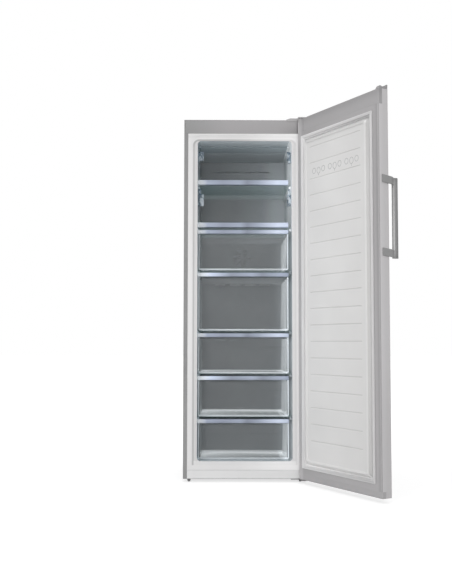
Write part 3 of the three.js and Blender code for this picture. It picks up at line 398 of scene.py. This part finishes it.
# ---- Sheet metal under and behind ----
# Floor, back, rear tray, front channel and bay cover are bare galvanised sheet, folded and
# pressed. The spangle of the zinc shows as pale and dark flakes.
def galvanised(name, dark="A2A4A6", pale="B9BABA", scale=90.0, rough=0.42):
    finish = Finish(name)
    flakes = finish.add("TexVoronoi", None, {"Vector": finish.place(), "Scale": scale})["Color"]
    tone = finish.add("SeparateColor", None, {0: flakes})
    return finish.skin(Base_Color=finish.blend(tone, linear(dark), linear(pale)), Metallic=0.8,
                       Roughness=finish.span(tone, 0.0, 1.0, rough - 0.06, rough + 0.08),
                       Normal=finish.bump(finish.noise(300.0), 0.00002))


zinc = galvanised("zinc_steel")
for node in ("floor_sheet", "back_panel", "base_tray", "front_rail", "bay_cover"):
    dress(node, zinc)


# ---- Kick plate ----
# A white moulding clipped under the flange, between the feet. Painted shade darkens its lower
# edge, where it turns back underneath, and a little of its upper edge below the flange.
def moulded(name, colour, roughness=0.45, grain=0.00004, scale=500.0):
    """Moulded plastic with a fine matt grain; colour is a code or a function of the finish."""
    finish = Finish(name)
    cloud = finish.noise(8.0)
    base = colour(finish) if callable(colour) else linear(colour)
    tone = finish.span(cloud, 0.3, 0.7, 0.98, 1.02)
    return finish.skin(Base_Color=tinted(finish, base, tone),
                       Roughness=finish.span(cloud, 0.3, 0.7, roughness - 0.04, roughness + 0.05),
                       Normal=finish.bump(finish.noise(scale), grain))


def kick_plate(finish):
    z = cabinet_mm(finish)[2]
    edge = finish.span(z, 17.0, 20.5, 0.5, 1.0) * finish.span(z, 53.5, flange_foot, 1.0, 0.95)
    return tinted(finish, linear("DDDDDD"), edge)


dress("plinth", moulded("plinth_white", kick_plate))

# ---- Cold unit ----
# Behind the clear drawers a white moulded cover closes the air duct, with the evaporator
# and its fan behind it. Painted shade makes the cover an uneven dark grey, lighter towards
# the hinge side, and painted light brightens it beside the open door, higher up.
duct_white = Finish("duct_white")
x, _, z = cabinet_mm(duct_white)
span = duct_white.span
# Painted shade and light: an uneven dark grey, lighter towards the hinge side.
painted_light_level = 0.9 * span(x, -150.0, 225.0) + 0.25 * duct_white.noise(4.0, 1.0) - 0.12
painted_light_level = painted_light_level + span(z, 1500.0, 1655.0, 0.0, 0.2) - span(z, 1200.0, 1260.0, 0.0, 0.16)
cover = duct_white.blend(painted_light_level, linear("444B4E"), linear("90969A"))
painted_door_light = 0.7 * span(x, 90.0, 225.0) * span(z, 1220.0, 1260.0)
dress("duct_cover", gloss_sheet(duct_white,
                                duct_white.blend(painted_door_light, cover, linear("C6CCD0"))))
dress("evaporator", galvanised("fin_aluminium", "BFC3C6", "D8DADC", 160.0, 0.34))
black = moulded("dark_plastic", "2B2C2E", 0.5)
for node in ("fan_motor", "fan_blade", "drain_pan"):
    dress(node, black)

# ---- Compressor and pipe ----
# The compressor is a drawn steel shell in black enamel on a plate with rubber feet. The
# pipe from its side is bare copper, stained brown in places.
enamel = Finish("black_enamel")
dress("compressor", enamel.skin(
    Base_Color=enamel.blend(enamel.noise(30.0, 3.0), linear("17181A"), linear("222326")),
    Roughness=enamel.span(enamel.noise(20.0, 3.0), 0.3, 0.7, 0.22, 0.4),
    Normal=enamel.bump(enamel.noise(220.0), 0.00008)))
copper = Finish("copper")
stain = copper.noise(26.0, 4.0)
dress("refrigerant_pipe", copper.skin(
    Base_Color=copper.blend(copper.span(stain, 0.4, 0.65), linear("C98158"), linear("8A5A43")),
    Metallic=1.0, Roughness=copper.span(stain, 0.3, 0.7, 0.24, 0.45),
    Normal=copper.bump(copper.noise(160.0), 0.00002)))

# ---- Hinges, feet and rollers ----
# The hinge plate and bracket are pressed steel painted like the cabinet, under a moulded
# cover, whose underside glows faintly with painted light. The feet are grey mouldings and
# the rollers black.
cap_grey = moulded("cap_grey", "A3A1A2", 0.48)
hinge = Finish("hinge_coat")
dress("top_hinge", coat(hinge, hinge.blend(hinge.noise(60.0), linear("8F8E8E"),
                                           linear("9B9999")), 0.5))
dress("bottom_hinge", coat(Finish("bracket_coat"), linear("7A7979"), 0.5))
cover_grey = Finish("hinge_cover_grey")
cloud = cover_grey.noise(8.0)
# Painted light: a faint glow on the cover's underside.
underside_glow = cover_grey.upward() < -0.5
dress("top_hinge_cover", cover_grey.skin(
    Base_Color=cover_grey.blend(cloud, linear("A19FA0"), linear("A5A3A4")),
    Roughness=cover_grey.span(cloud, 0.3, 0.7, 0.44, 0.53),
    Normal=cover_grey.bump(cover_grey.noise(500.0), 0.00004),
    Emission_Color=tinted(cover_grey, linear("A3A1A2"), 0.5 * underside_glow), Emission_Strength=1.0))
foot_grey = moulded("foot_grey", "8C8B8C", 0.5)
for side in ("left", "right"):
    dress(f"front_foot_{side}", foot_grey)
    dress(f"rear_roller_{side}", black)


# ---- Glass shelves ----
# Six panes of toughened glass lying on the liner's ledges. Through the face the glass is
# clear and slightly grey, and a faint dark-teal glow of painted light lies over it.
def pane(name, colour, face_on, glancing, rough=0.05, edge=0.25, glow=None, wave=0.00002):
    """Clear plastic or glass: its share that shows face on, and more at a glancing angle."""
    finish = Finish(name)
    rim = finish.add("LayerWeight", None, {"Blend": edge})["Fresnel"]
    cloud = finish.noise(6.0)
    base = colour(finish) if callable(colour) else finish.blend(
        cloud, linear(colour), tinted(finish, linear(colour), 0.94))
    lit = {"Emission_Color": glow(finish), "Emission_Strength": 1.0} if glow else {}
    return finish.skin(Base_Color=base, Roughness=finish.span(cloud, 0.3, 0.7, rough, rough + 0.04),
                       Alpha=finish.span(rim, 0.0, 1.0, face_on, glancing, smooth=False),
                       Normal=finish.bump(finish.noise(60.0), wave), **lit)


# Painted light: the glow over each pane, a dark teal.
def painted_glass_glow(finish):
    return finish.blend(finish.noise(20.0, 1.0), linear("2E3837"), linear("3A4645"))


glass = pane("clear_glass", "C9D6DA", 0.07, 0.5, glow=painted_glass_glow, wave=0.000002)
for k in range(1, 7):
    dress(f"shelf_{k}", glass)


# ---- Flaps ----
# Two clear flaps over the top compartments turn on pins in clear blocks on the walls.
# Each is one polystyrene moulding with a thick boss at both ends of its upper edge.
class Shape:
    """A mesh in the making, in millimetres of the cabinet."""

    def __init__(self):
        self.mesh = bmesh.new()

    def loft(self, loops, closed=False):
        """Skins loops of equally many points; closed joins the last loop to the first."""
        rings = [[self.mesh.verts.new(p) for p in loop] for loop in loops]
        for a, b in zip(rings, rings[1:] + rings[:1] if closed else rings[1:]):
            for i in range(len(a)):
                j = (i + 1) % len(a)
                self.mesh.faces.new((a[i], a[j], b[j], b[i]))
        if not closed:
            self.mesh.faces.new(list(reversed(rings[0])))
            self.mesh.faces.new(rings[-1])

    def prism(self, outline, axis, low, high):
        """A flat outline pushed out along an axis; its pairs are the other two axes in order."""
        def spot(pair, depth):
            u, v = pair
            return {"x": (depth, u, v), "y": (u, depth, v), "z": (u, v, depth)}[axis]
        self.loft([[spot(pair, depth) for pair in outline] for depth in (low, high)])

    def soften(self, width, angle=40):
        """Rounds every edge sharper than the angle."""
        bmesh.ops.recalc_face_normals(self.mesh, faces=self.mesh.faces)
        edges = [e for e in self.mesh.edges
                 if len(e.link_faces) == 2 and e.calc_face_angle(0) > radians(angle)]
        bmesh.ops.bevel(self.mesh, geom=edges, offset=width, offset_type="OFFSET", segments=2,
                        profile=0.5, affect="EDGES", clamp_overlap=True)

    def piece(self, name, finish, body, slot, replaced=(), place=at, smooth=40, second=None,
              choose=None):
        """Makes the object; faces that choose(centre, normal) picks get the second finish."""
        bmesh.ops.remove_doubles(self.mesh, verts=self.mesh.verts, dist=0.001)
        bmesh.ops.recalc_face_normals(self.mesh, faces=self.mesh.faces)
        self.mesh.normal_update()
        if second:
            for face in self.mesh.faces:
                face.material_index = int(choose(face.calc_center_median(), face.normal))
        for vertex in self.mesh.verts:
            vertex.co = place(*vertex.co)
        mesh = bpy.data.meshes.new(name)
        self.mesh.to_mesh(mesh)
        self.mesh.free()
        mesh.shade_smooth()
        mesh.set_sharp_from_angle(angle=radians(smooth))
        mesh.materials.append(finish)
        if second:
            mesh.materials.append(second)
        made = bpy.data.objects.new(name, mesh)
        bpy.context.scene.collection.objects.link(made)
        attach(made, body)
        if replaced:
            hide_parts(*replaced)


def rounded(u0, u1, v0, v1, radius, steps=5):
    """A rectangle with round corners; radius is one number or four, from the low left on."""
    radii = radius if isinstance(radius, tuple) else (radius,) * 4
    corners = ((u0, v0, pi), (u1, v0, 1.5 * pi), (u1, v1, 0), (u0, v1, 0.5 * pi))
    pairs = []
    for (u, v, start), r in zip(corners, radii):
        cu, cv = u + (r if u == u0 else -r), v + (r if v == v0 else -r)
        turns = [start + k * pi / 2 / steps for k in range(steps + 1)]
        pairs += [(cu + r * cos(turn), cv + r * sin(turn)) for turn in turns]
    return pairs


def millimetres(node):
    """A CAD node's box in millimetres of the cabinet: x0, x1, y0, y1, z0, z1."""
    low, high = ((c - corner) * 1000 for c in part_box(node))
    return low.x, high.x, low.y, high.y, low.z, high.z


def painted_streaks(finish):
    """Painted highlights and shade: bright and dark streaks close together, as in thick clear
    plastic.
    """
    streak = finish.noise(70.0, 2.0, (1.0, 1.0, 0.55)) + 0.25 * (finish.noise(260.0, 1.0) - 0.5)
    return finish.blend(finish.span(streak, 0.45, 0.60), linear("5F7484"), linear("DDE7EF"))


clear = pane("clear_plastic", "DDE4E8", 0.03, 0.6)
frost = pane("clear_plastic_edge", painted_streaks, 0.72, 0.95, rough=0.12)
shelf_levels = (1448, 1235)
pin_height = 145  # above the shelf
panel_rise = 20  # above the pin, as all heights that follow
panel_face, panel_back = 60.2, 62.4
boss_drops, boss_rise = (18, 33.5), 27.6  # the lower flap's bosses reach further down
boss_left, boss_right = 26.6, 17.6  # lengths of the bosses
horn_foot, horn_top = 28.0, 54.0  # horns on the lower flap's bosses
horn_left, horn_right = 14.6, 12.6
for k, (level, boss_drop) in enumerate(zip(shelf_levels, boss_drops), 1):
    x0, x1, _, y1, z0, _ = millimetres(f"flap_{k}")
    pin = level + pin_height
    panel = Shape()
    panel.prism(rounded(x0 + 0.3, x1 - 0.3, z0 + 0.3, pin + panel_rise, (0.5, 0.5, 6, 6)), "y",
                panel_face, panel_back)
    panel.soften(0.5)
    panel.piece(f"flap_panel_{k}", clear, f"flap_{k}", "clear_plastic", (f"flap_{k}",))
    ends = Shape()
    boss = rounded(62.6, y1 - 0.5, pin - boss_drop, pin + boss_rise, (3, 9, 9, 5), 4)
    ends.prism(boss, "x", x0 + 0.4, x0 + 0.4 + boss_left)
    ends.prism(boss, "x", x1 - 0.4 - boss_right, x1 - 0.4)
    if k == 2:
        horn = rounded(62.6, y1 - 2.0, pin + horn_foot, pin + horn_top, (2, 2, 8, 5), 4)
        ends.prism(horn, "x", x0 + 0.4, x0 + 0.4 + horn_left)
        ends.prism(horn, "x", x1 - 0.4 - horn_right, x1 - 0.4)
    ends.soften(1.2, 50)
    ends.piece(f"flap_bosses_{k}", frost, f"flap_{k}", "clear_plastic")
    for side in ("left", "right"):
        x0, x1, y0, y1, z0, z1 = millimetres(f"flap_pivot_{k}_{side}")
        block = Shape()
        block.prism(rounded(y0, y1, z0, z1, 5, 4), "x", x0, x1)
        block.soften(0.6 if x1 - x0 > 3 else 0.3, 50)
        block.piece(f"flap_bearing_{k}_{side}", frost, "cabinet", "clear_plastic",
                    (f"flap_pivot_{k}_{side}",))


# ---- Silver strips ----
# Hot-foiled plastic mouldings clipped along each flap's lower and each drawer's upper
# edge. Painted reflections lie along the foil as soft bright and dim stretches.
foil_start, foil_length = -228.0, 446.0
left_end = 3.0  # a strip's end cap reaches this far past the strip's solid


def silver_foil(name, reflection_stops):
    finish = Finish(name)
    place = finish.add("SeparateXYZ", None, {0: finish.place()})
    along = (place["X"] - at(foil_start, 0, 0).x) / (foil_length / 1000)
    along = along + (finish.noise(9.0, 1.0, (1.0, 0.0, 0.0)) - 0.5) * 0.04
    fine = finish.noise(700.0, 2.0, (0.02, 1.0, 1.0))
    return finish.skin(Base_Color=finish.ramp(along, reflection_stops), Metallic=0.1,
                       Roughness=finish.span(fine, 0.2, 0.8, 0.5, 0.62),
                       Normal=finish.bump(fine, 0.00002))


def strip(name, body, node, reflection_stops):
    x0, x1, y0, y1, z0, z1 = millimetres(node)
    x0 -= left_end
    centre_y, centre_z = (y0 + y1) / 2, (z0 + z1) / 2
    # Cross-section: a crowned front, a rounded top and bottom, and a step back to the clip.
    crown = [(y0 + 1.6, z0 + 0.2), (y0 + 0.5, z0 + 1.2), (y0 + 0.12, z0 + 3.0), (y0, centre_z),
             (y0 + 0.12, z1 - 3.0), (y0 + 0.5, z1 - 1.2), (y0 + 1.6, z1 - 0.2), (y0 + 3.0, z1),
             (y1 - 1.0, z1), (y1, z1 - 1.0), (y1, z1 - 4.0), (y1 - 3, z1 - 5.0),
             (y1 - 3, z0 + 5.0), (y1, z0 + 4.0), (y1, z0 + 1.0), (y1 - 1.0, z0), (y0 + 3.0, z0)]

    def drawn_in(value, centre, shrink):
        return value + max(-shrink, min(shrink, (centre - value) * 0.3))

    shape = Shape()
    shape.loft([[(x, drawn_in(y, centre_y, shrink), drawn_in(z, centre_z, shrink))
                 for y, z in crown]
                for x, shrink in ((x0, 1.4), (x0 + 0.5, 0.5), (x0 + 1.6, 0.0),
                                  (x1 - 1.6, 0.0), (x1 - 0.5, 0.5), (x1, 1.4))])
    shape.piece(name, silver_foil(name + "_foil", reflection_stops), body, "trim_silver", (node,),
                smooth=50)


# Painted reflections along the strips, brightest at their left ends.
bright_reflections = ((0.0, "FBFDFF"), (0.10, "9CA4B6"), (0.28, "8A91A1"), (0.46, "98A0B1"),
               (0.54, "7F8694"), (0.66, "99A1B2"), (0.88, "D4DDEF"), (0.97, "D0D9EB"))
dim_reflections = ((0.0, "FBFDFF"), (0.15, "C8D2E6"), (0.37, "878E9D"), (0.6, "A0A8BA"),
            (0.71, "868D9B"), (0.90, "A9B2C4"))
for k in (1, 2):
    strip(f"flap_strip_{k}", f"flap_{k}", f"flap_trim_{k}", bright_reflections)
for k in range(1, 6):
    strip(f"drawer_strip_{k}", f"drawer_{k}", f"drawer_trim_{k}",
          dim_reflections if k in (2, 4) else bright_reflections)

# ---- Drawers ----
# Five clear polystyrene drawers: a tub with drafted walls and round corners behind a
# flat front whose edge is thickened into a rim. The walls look pale, and painted light
# glows in them and in the rim.
outside = pane("clear_plastic_outside", "E4EAEE", 0.03, 0.3, rough=0.1, edge=0.2)


def painted_wall_glow(finish):
    """Painted light: a glow in the walls, strongest at the hinge side and on the floors lower down.
    """
    x, _, z = cabinet_mm(finish)
    wall = finish.span(x, 170.0, 205.0, 0.05, 0.42)
    wall = wall + (finish.upward() > 0.7) * finish.span(z, 900.0, 1010.0, 0.56, 0.12)
    wall = wall * finish.span(finish.noise(5.0, 1.0, (0.3, 1.0, 1.0)), 0.3, 0.7, 0.8, 1.1)
    return tinted(finish, linear("E9EEF1"), wall)


# Painted highlights and shade lie in streaks along the thick rim.
def rim_shade(finish):
    return finish.blend(finish.noise(35.0, 2.0, (0.3, 1.0, 0.3)), linear("B9C2C8"),
                        linear("F4F8FB"))


inside = pane("clear_plastic_inside", "F4F8FA", 0.03, 0.9, rough=0.1, edge=0.38, glow=painted_wall_glow)
rim_clear = pane("clear_plastic_rim", rim_shade, 0.6, 0.9, rough=0.1, glow=painted_wall_glow)
front_face, front_back = 60.1, 62.4
bow_drop = 51  # from the strip's lower edge to the bowed rib across the front
wall_drop = 8  # and to the tub's upper edge
# The tub goes up outside, over its lip, and down inside to the floor: how far each loop
# lies inside the widest one, and its height above the drawer's foot or below the lip's top.
tub_outside = ((9.5, 3.2), (6.5, 4.4), (5.2, 8))
tub_lip = ((1.8, 4.2), (0.2, 3.8), (0.0, 3.4), (0.0, 0.6), (0.6, 0), (2.4, 0), (3.4, 0.8), (4.2, 5))
tub_inside = ((7.4, 9), (8.6, 6.6), (11.0, 5.8))
for k in range(1, 6):
    x0, x1, y0, y1, z0, z1 = millimetres(f"drawer_{k}")
    trim_low = millimetres(f"drawer_trim_{k}")[4]
    front = Shape()
    front.prism(rounded(x0 + 0.2, x1 - 0.2, z0 + 0.6, trim_low + 12, (8, 8, 0.5, 0.5)), "y",
                front_face, front_back)
    front.soften(0.6)
    front.prism([(60.9 - 0.8 * sin(pi * i / 6), trim_low - bow_drop - 2.2 * cos(pi * i / 6))
                 for i in range(7)], "x", x0 + 12, x1 - 12)
    front.piece(f"drawer_front_{k}", clear, f"drawer_{k}", "clear_plastic", (f"drawer_{k}",))

    top = trim_low - wall_drop
    levels = ([(inset, z0 + rise) for inset, rise in tub_outside]
              + [(inset, top - drop) for inset, drop in tub_lip]
              + [(inset, z0 + rise) for inset, rise in tub_inside])
    tub = Shape()
    tub.loft([[(u, v, height) for u, v in rounded(
        x0 + 3.5 + inset, x1 - 3.5 - inset, 62.8, y1 - 0.6 - inset, (0.5, 0.5, 14, 14))]
        for inset, height in levels])
    for x in (x0 + 34, x1 - 34):
        tub.prism(rounded(x - 4, x + 4, 70, y1 - 30, 2, 2), "z", z0 + 0.2, z0 + 3.1)
    core = Vector(((x0 + x1) / 2, (y0 + y1) / 2, z1 + 60))

    def faces_in(centre, normal):
        return (core - centre).dot(normal) > 0 and centre.z < top - 0.3

    tub.piece(f"drawer_tub_{k}", outside, f"drawer_{k}", "clear_plastic", smooth=50,
              second=inside, choose=faces_in)

    edge = Shape()
    outer = rounded(x0 + 0.8, x1 - 0.8, z0 + 1.0, trim_low - 0.5, (8, 8, 0.5, 0.5), 4)
    inner = rounded(x0 + 6.0, x1 - 6.0, z0 + 9.0, trim_low - 0.5, (5, 5, 0.5, 0.5), 4)
    edge.loft([[(u, depth, v) for u, v in outline] for depth, outline in
               ((62.6, outer), (66.0, outer), (66.0, inner), (62.6, inner))], closed=True)
    edge.piece(f"drawer_rim_{k}", rim_clear, f"drawer_{k}", "clear_plastic", smooth=50)


# ---- Door skin ----
# The door's front and both its edges are one sheet of brushed stainless steel; the grain
# runs across. It is turned in round the free edge, where a painted highlight between
# painted dark lines marks the fold.
pivot = Vector((283.5, -26.0))
turn_cos, turn_sin = -0.5, sqrt(0.75)  # of the 120 degrees by which the door stands open


def ajar(x, y, z):
    """A place on the closed door, taken along as the door opens."""
    dx, dy = x - pivot.x, y - pivot.y
    return at(pivot.x + turn_cos * dx - turn_sin * dy, pivot.y + turn_sin * dx + turn_cos * dy, z)


def door_mm(finish):
    """Where a point is on the closed door, in millimetres, as three numbers."""
    x, y, z = cabinet_mm(finish)
    dx, dy = x - pivot.x, y - pivot.y
    return (pivot.x + turn_cos * dx + turn_sin * dy,
            pivot.y - turn_sin * dx + turn_cos * dy, z)


fold_line = 281.5  # the fold's inner line lies this far from the door's middle
steel = Finish("brushed_steel")
x, y, z = door_mm(steel)
span = steel.span
across_grain = steel.add("VectorMath", {"operation": "MULTIPLY"}, {
    0: steel.add("CombineXYZ", None, {0: x, 1: y, 2: z}), 1: (0.004, 0.3, 1.0)})
grain = steel.add("TexNoise", None, {"Vector": across_grain, "Scale": 2.2, "Detail": 3.0})
# Painted light and shade on the edge and the inner face: the edge darker low down and at the front,
# the inner face lighter at the hinge side and low down, with a dark line along the fold's inner
# line.
cheek = steel.blend(span(y, -40.0, -12.0), linear("C2C0C1"), linear("C9C7C8"))
cheek = tinted(steel, cheek, span(y, -64.0, -57.0, 0.93, 1.0) * span(z, 250.0, 700.0, 0.92, 1.0))
inside_face = tinted(steel, linear("A4A2A3"), (
    span(x, 262.0, 276.0, 1.0, 1.22) * span(x, -276.0, -262.0, 0.98, 1.04)
    * span(z, 500.0, 1300.0, 1.1, 1.0) * span(abs(x + fold_line), 1.5, 4.5, 0.86, 1.0)))
inner = steel.blend(span(y, -10.0, -8.6), cheek, inside_face)
front_colour = tinted(steel, linear("B4B3B2"), span(grain, 0.3, 0.7, 0.94, 1.05))
dress("door_skin", steel.skin(Base_Color=steel.blend(span(y, -63.0, -57.0), front_colour, inner),
                              Metallic=span(y, -63.0, -57.0, 0.72, 0.2),
                              Roughness=span(grain, 0.2, 0.8, 0.30, 0.42),
                              Normal=steel.bump(grain, 0.00001)))

hem_start, hem_width = -297.2, 10.4
hem = Shape()
hem.prism([(hem_start + run, depth) for run, depth in (
    (0.0, -9.2), (0.0, -8.4), (0.6, -7.7), (1.8, -7.4), (8.8, -7.4), (10.0, -7.7),
    (hem_width, -8.3), (hem_width, -9.2))], "z", 48.5, 1693.4)
# Painted shade at both sides of the fold and a painted highlight in its middle.
fold = Finish("folded_edge")
line = fold.ramp((door_mm(fold)[0] - hem_start) / hem_width,
                 ((0.0, "7E7D7D"), (0.12, "8C8A8B"), (0.26, "A9A7A8"), (0.62, "B6B4B5"),
                  (0.80, "9F9D9E"), (0.93, "8A8889")))
hem.piece("door_hem", coat(fold, line), "door", "brushed_steel", place=ajar)


# ---- Door caps ----
# Grey mouldings close the door's ends; the upper one has a raised curb at its free end.
# Painted shade darkens the upper cap towards its upper edge and the lower cap at its very
# foot; painted light brightens the caps at the hinge side and the lower cap's lower part,
# with a painted highlight along the upper cap's hinge corner and a darker upright line on it.
def cap_shade(finish):
    x, _, z = door_mm(finish)
    span = finish.span
    on_top_cap = z > 1694.0
    top = span(z, 1712.0, 1757.0)
    foot = span(z, 22.0, 30.0, 1.0, 0.0)
    corner_highlight = span(x, 288.5, 291.5) * span(z, 1742.0, 1750.0, 1.0, 0.0) * on_top_cap
    ridge = span(abs(x - 255.0), 2.0, 4.5, 1.0, 0.0) * on_top_cap
    turn = span(x, 262.0, 276.0, 0.0, 0.22) + 0.42 * corner_highlight - 0.16 * ridge
    tone = (1.0 - 0.17 * top - 0.08 * foot + 0.12 * (z < 80.0)) * (1.0 + turn)
    return tinted(finish, linear("A4A2A3"), tone)


door_cap = moulded("door_cap_grey", cap_shade, 0.46)
dress("door_top_cap", door_cap)
dress("door_bottom_cap", door_cap)
dress("door_foam", foam_cream)

# ---- Door liner ----
# Formed white polystyrene with a raised panel: a rim, then a field with nineteen grooves.
# Painted shade lies on the panel's slopes, in the grooves and towards the free side and the
# top; painted light brightens the lower slope, the rim and a band just under each groove.
seal_half, seal_low, seal_high = 259.5, 75.5, 1671.0  # outer edge of the seal round the panel
lowest_groove, groove_pitch, groove_half = 213.0, 77.0, 187.5
field_low, field_high = 190.0, 1620.0
slope_end, rim_end = 33.0, 44.0  # how far in from the seal's edge

door_white = Finish("door_liner_white")
x, _, z = door_mm(door_white)
span = door_white.span
nearest = door_white.least(x + seal_half, seal_half - x)
inset = door_white.least(nearest, door_white.least(seal_high - z, z - seal_low))
upper = span(seal_high - z - nearest, -2.0, 2.0, 1.0, 0.0)
lower = span(z - seal_low - nearest, -2.0, 2.0, 1.0, 0.0)
slope = span(inset, slope_end, slope_end + 3.0, 1.0, 0.0)
rim = span(inset, slope_end, slope_end + 3.0) * span(inset, rim_end, rim_end + 3.0, 1.0, 0.0)
step = span(abs(inset - (rim_end + 2.0)), 0.5, 2.5, 1.0, 0.0)
free_side = span(x, -240.0, -200.0, 1.0, 0.0)
tone = (1.0 - slope * (0.06 + 0.08 * upper + 0.17 * free_side - 0.3 * lower)
        + 0.05 * rim * (1.0 - upper) - 0.03 * step)
tone = tone - 0.11 * free_side * span(inset, 24.0, slope_end) * slope
tone = tone - 0.11 * upper * span(inset, slope_end, 60.0, 1.0, 0.0) * (1.0 - slope)
tone = tone - span(x, -220.0, 60.0, 0.07, 0.0) - span(z, 1400.0, 1660.0, 0.0, 0.04)
above = (z - lowest_groove + groove_pitch / 2) % groove_pitch - groove_pitch / 2
field = (abs(x) < groove_half) * (z > field_low) * (z < field_high)
groove = span(abs(above), 0.6, 2.6, 1.0, 0.0)
halo = span(above, -15.0, -3.0) * (above < 0.0)
tone = tone + field * (0.012 * halo - 0.17 * groove)
dress("door_liner", gloss_sheet(door_white, tinted(door_white, linear("E1E0DF"), tone), 0.4))

# ---- Raised rings ----
# Three groups of three small rings stand out of the field near the top, the middle one of
# each a little larger and lower, with a pip under it.
hinge_edge = 297.5
first_rings = (145, 267, 388)  # from the door's hinge edge to the first ring of each group
ring_pitch = 35.5
ring_foot, ring_face = 3.3, 4.0
pip_drop, pip_radius = 21, 2.6
ring_white = moulded("ring_white", "AEAEAE", 0.4)
for group, first in enumerate(first_rings, 1):
    for number in (1, 2, 3):
        large = number == 2
        across = hinge_edge - first - ring_pitch * (number - 1)
        height = 1477 if large else 1480
        wide, tall = (12.5, 14.5) if large else (12.0, 13.0)
        ring = Shape()
        ring.loft([[(across + (wide + grow) * cos(turn), depth, height + (tall + grow) * sin(turn))
                    for grow, depth in ((-1.5, ring_foot), (-1.0, ring_face),
                                        (1.0, ring_face), (1.5, ring_foot))]
                   for turn in (2 * pi * k / 28 for k in range(28))], closed=True)
        if large:
            ring.prism([(across + pip_radius * cos(pi * i / 5),
                         height - pip_drop + pip_radius * sin(pi * i / 5)) for i in range(10)],
                       "y", ring_foot, ring_face)
        ring.piece(f"liner_ring_{group}_{number}", ring_white, "door", "liner_white", place=ajar)

# ---- Door seal ----
# A grey PVC profile with a magnet in its head and bellows behind it, welded into a frame
# with mitred corners and pressed into the groove round the door's inner panel.
hinge_lip, free_lip = 8.0, 4.5  # how far the outer lip stands out, and in, at the two sides
lip_width = 13  # over this width it falls back into line
seal = Shape()
profile = [(22.0, -7.7), (22.0, -7.2), (15.6, -6.4), (13.2, -4.6), (14.6, -3.6), (14.6, -1.4),
           (13.4, -0.7), (6.6, -0.7), (5.9, -1.1), (5.2, -0.7), (1.6, -0.7), (0.4, -1.5),
           (0.4, -3.4), (1.9, -4.6), (0.1, -5.6), (0.1, -7.6)]
loops = []
for d, y in profile:
    lip = max(0.0, 1 - d / lip_width)
    left, right = -seal_half + d + free_lip * lip, seal_half - d + hinge_lip * lip
    loops.append([(left, y, seal_low + d), (right, y, seal_low + d),
                  (right, y, seal_high - d), (left, y, seal_high - d)])
seal.loft(loops, closed=True)


# Painted light and shade on the seal: darker on the free side and lighter on the hinge side, a dark
# crease, a bright outer bead on the free side, shade across the top and inside the upright sides,
# and at the bottom a dark band with painted light inside it.
def seal_shade(finish):
    x, _, z = door_mm(finish)
    span = finish.span
    side = seal_half - abs(x)
    inset = finish.least(side, finish.least(seal_high - z, z - seal_low))
    over = span(side - (seal_high - z), -1.0, 1.0)
    under = span(side - (z - seal_low), -1.0, 1.0)
    upright = (1.0 - over) * (1.0 - under)
    crease_shade = 1.0 - 0.12 * upright * span(abs(inset - 5.9), 0.4, 1.4, 1.0, 0.0)
    bead_highlight = 1.0 + 0.09 * upright * span(x, -252.0, -247.0, 1.0, 0.0)
    recess_shade = 1.0 - 0.13 * over * span(inset, 3.5, 8.0) - 0.05 * upright * span(inset, 12.0, 15.0)
    foot = 1.0 - 0.09 * under * span(inset, 3.0, 6.0) + 0.25 * under * span(inset, 16.5, 19.0)
    tone = span(x, -240.0, 240.0, 0.88, 1.1) * crease_shade * bead_highlight * recess_shade * foot
    return tinted(finish, linear("DAD9D9"), tone)


seal.piece("door_gasket", moulded("seal_grey", seal_shade, 0.6, 0.00003, 300.0), "door",
           "seal_grey", ("door_seal",), place=ajar, smooth=30)

# ---- Display ----
# A black glass window, set flush in a pocket of the door's front. It is dark, without
# figures, and polished smooth.
dress("display_glass", moulded("black_glass", "08090B", 0.08, 0.000002))

# ---- Handle ----
# A grey aluminium bar of oval section on two flat arms that come round the door's edge and
# bend into it. The metal is brushed lengthwise. Painted highlights and shade run along the
# bar in lanes round its section, softer higher up, and it is darker towards its ends.
grip_x, grip_y, grip_z = -288.5, -101.0, 1204.5  # the grip's centre, on the closed door
grip_reach = 14.0  # how far the lanes run to either side of it
metal = Finish("handle_grey")
brush = metal.noise(900.0, 2.0, (1.0, 1.0, 0.02))
x, y, z = door_mm(metal)
ends = metal.span(abs(z - grip_z), 152.0, 168.0)
round_grip = metal.span(-0.5 * (x - grip_x) - 0.866 * (y - grip_y), -grip_reach, grip_reach,
                        smooth=False)
# Painted highlights and shade in lanes round the bar's section.
painted_lanes = metal.ramp(round_grip, ((0.0, "A4A4A4"), (0.14, "969696"), (0.20, "909090"),
                               (0.26, "B0B0B0"), (0.31, "ACACAC"), (0.40, "8A8A8A"),
                               (1.0, "7E7E7E")))
painted_lanes = metal.blend(metal.span(z, 1160.0, 1320.0, 0.0, 0.65), painted_lanes, linear("8B8B8B"))
bar = metal.blend(ends * 0.8, painted_lanes, linear("7C7C7C"))
dress("handle_grip", metal.skin(Base_Color=bar, Metallic=0.2,
                                Roughness=metal.span(brush, 0.2, 0.8, 0.42, 0.52),
                                Normal=metal.bump(brush, 0.000015)))
arm_grey = coat(Finish("arm_grey"), linear("909090"), 0.46, 0.25)
for end in ("upper", "lower"):
    dress(f"handle_arm_{end}", arm_grey)
    dress(f"blanking_cap_{end}", cap_grey)
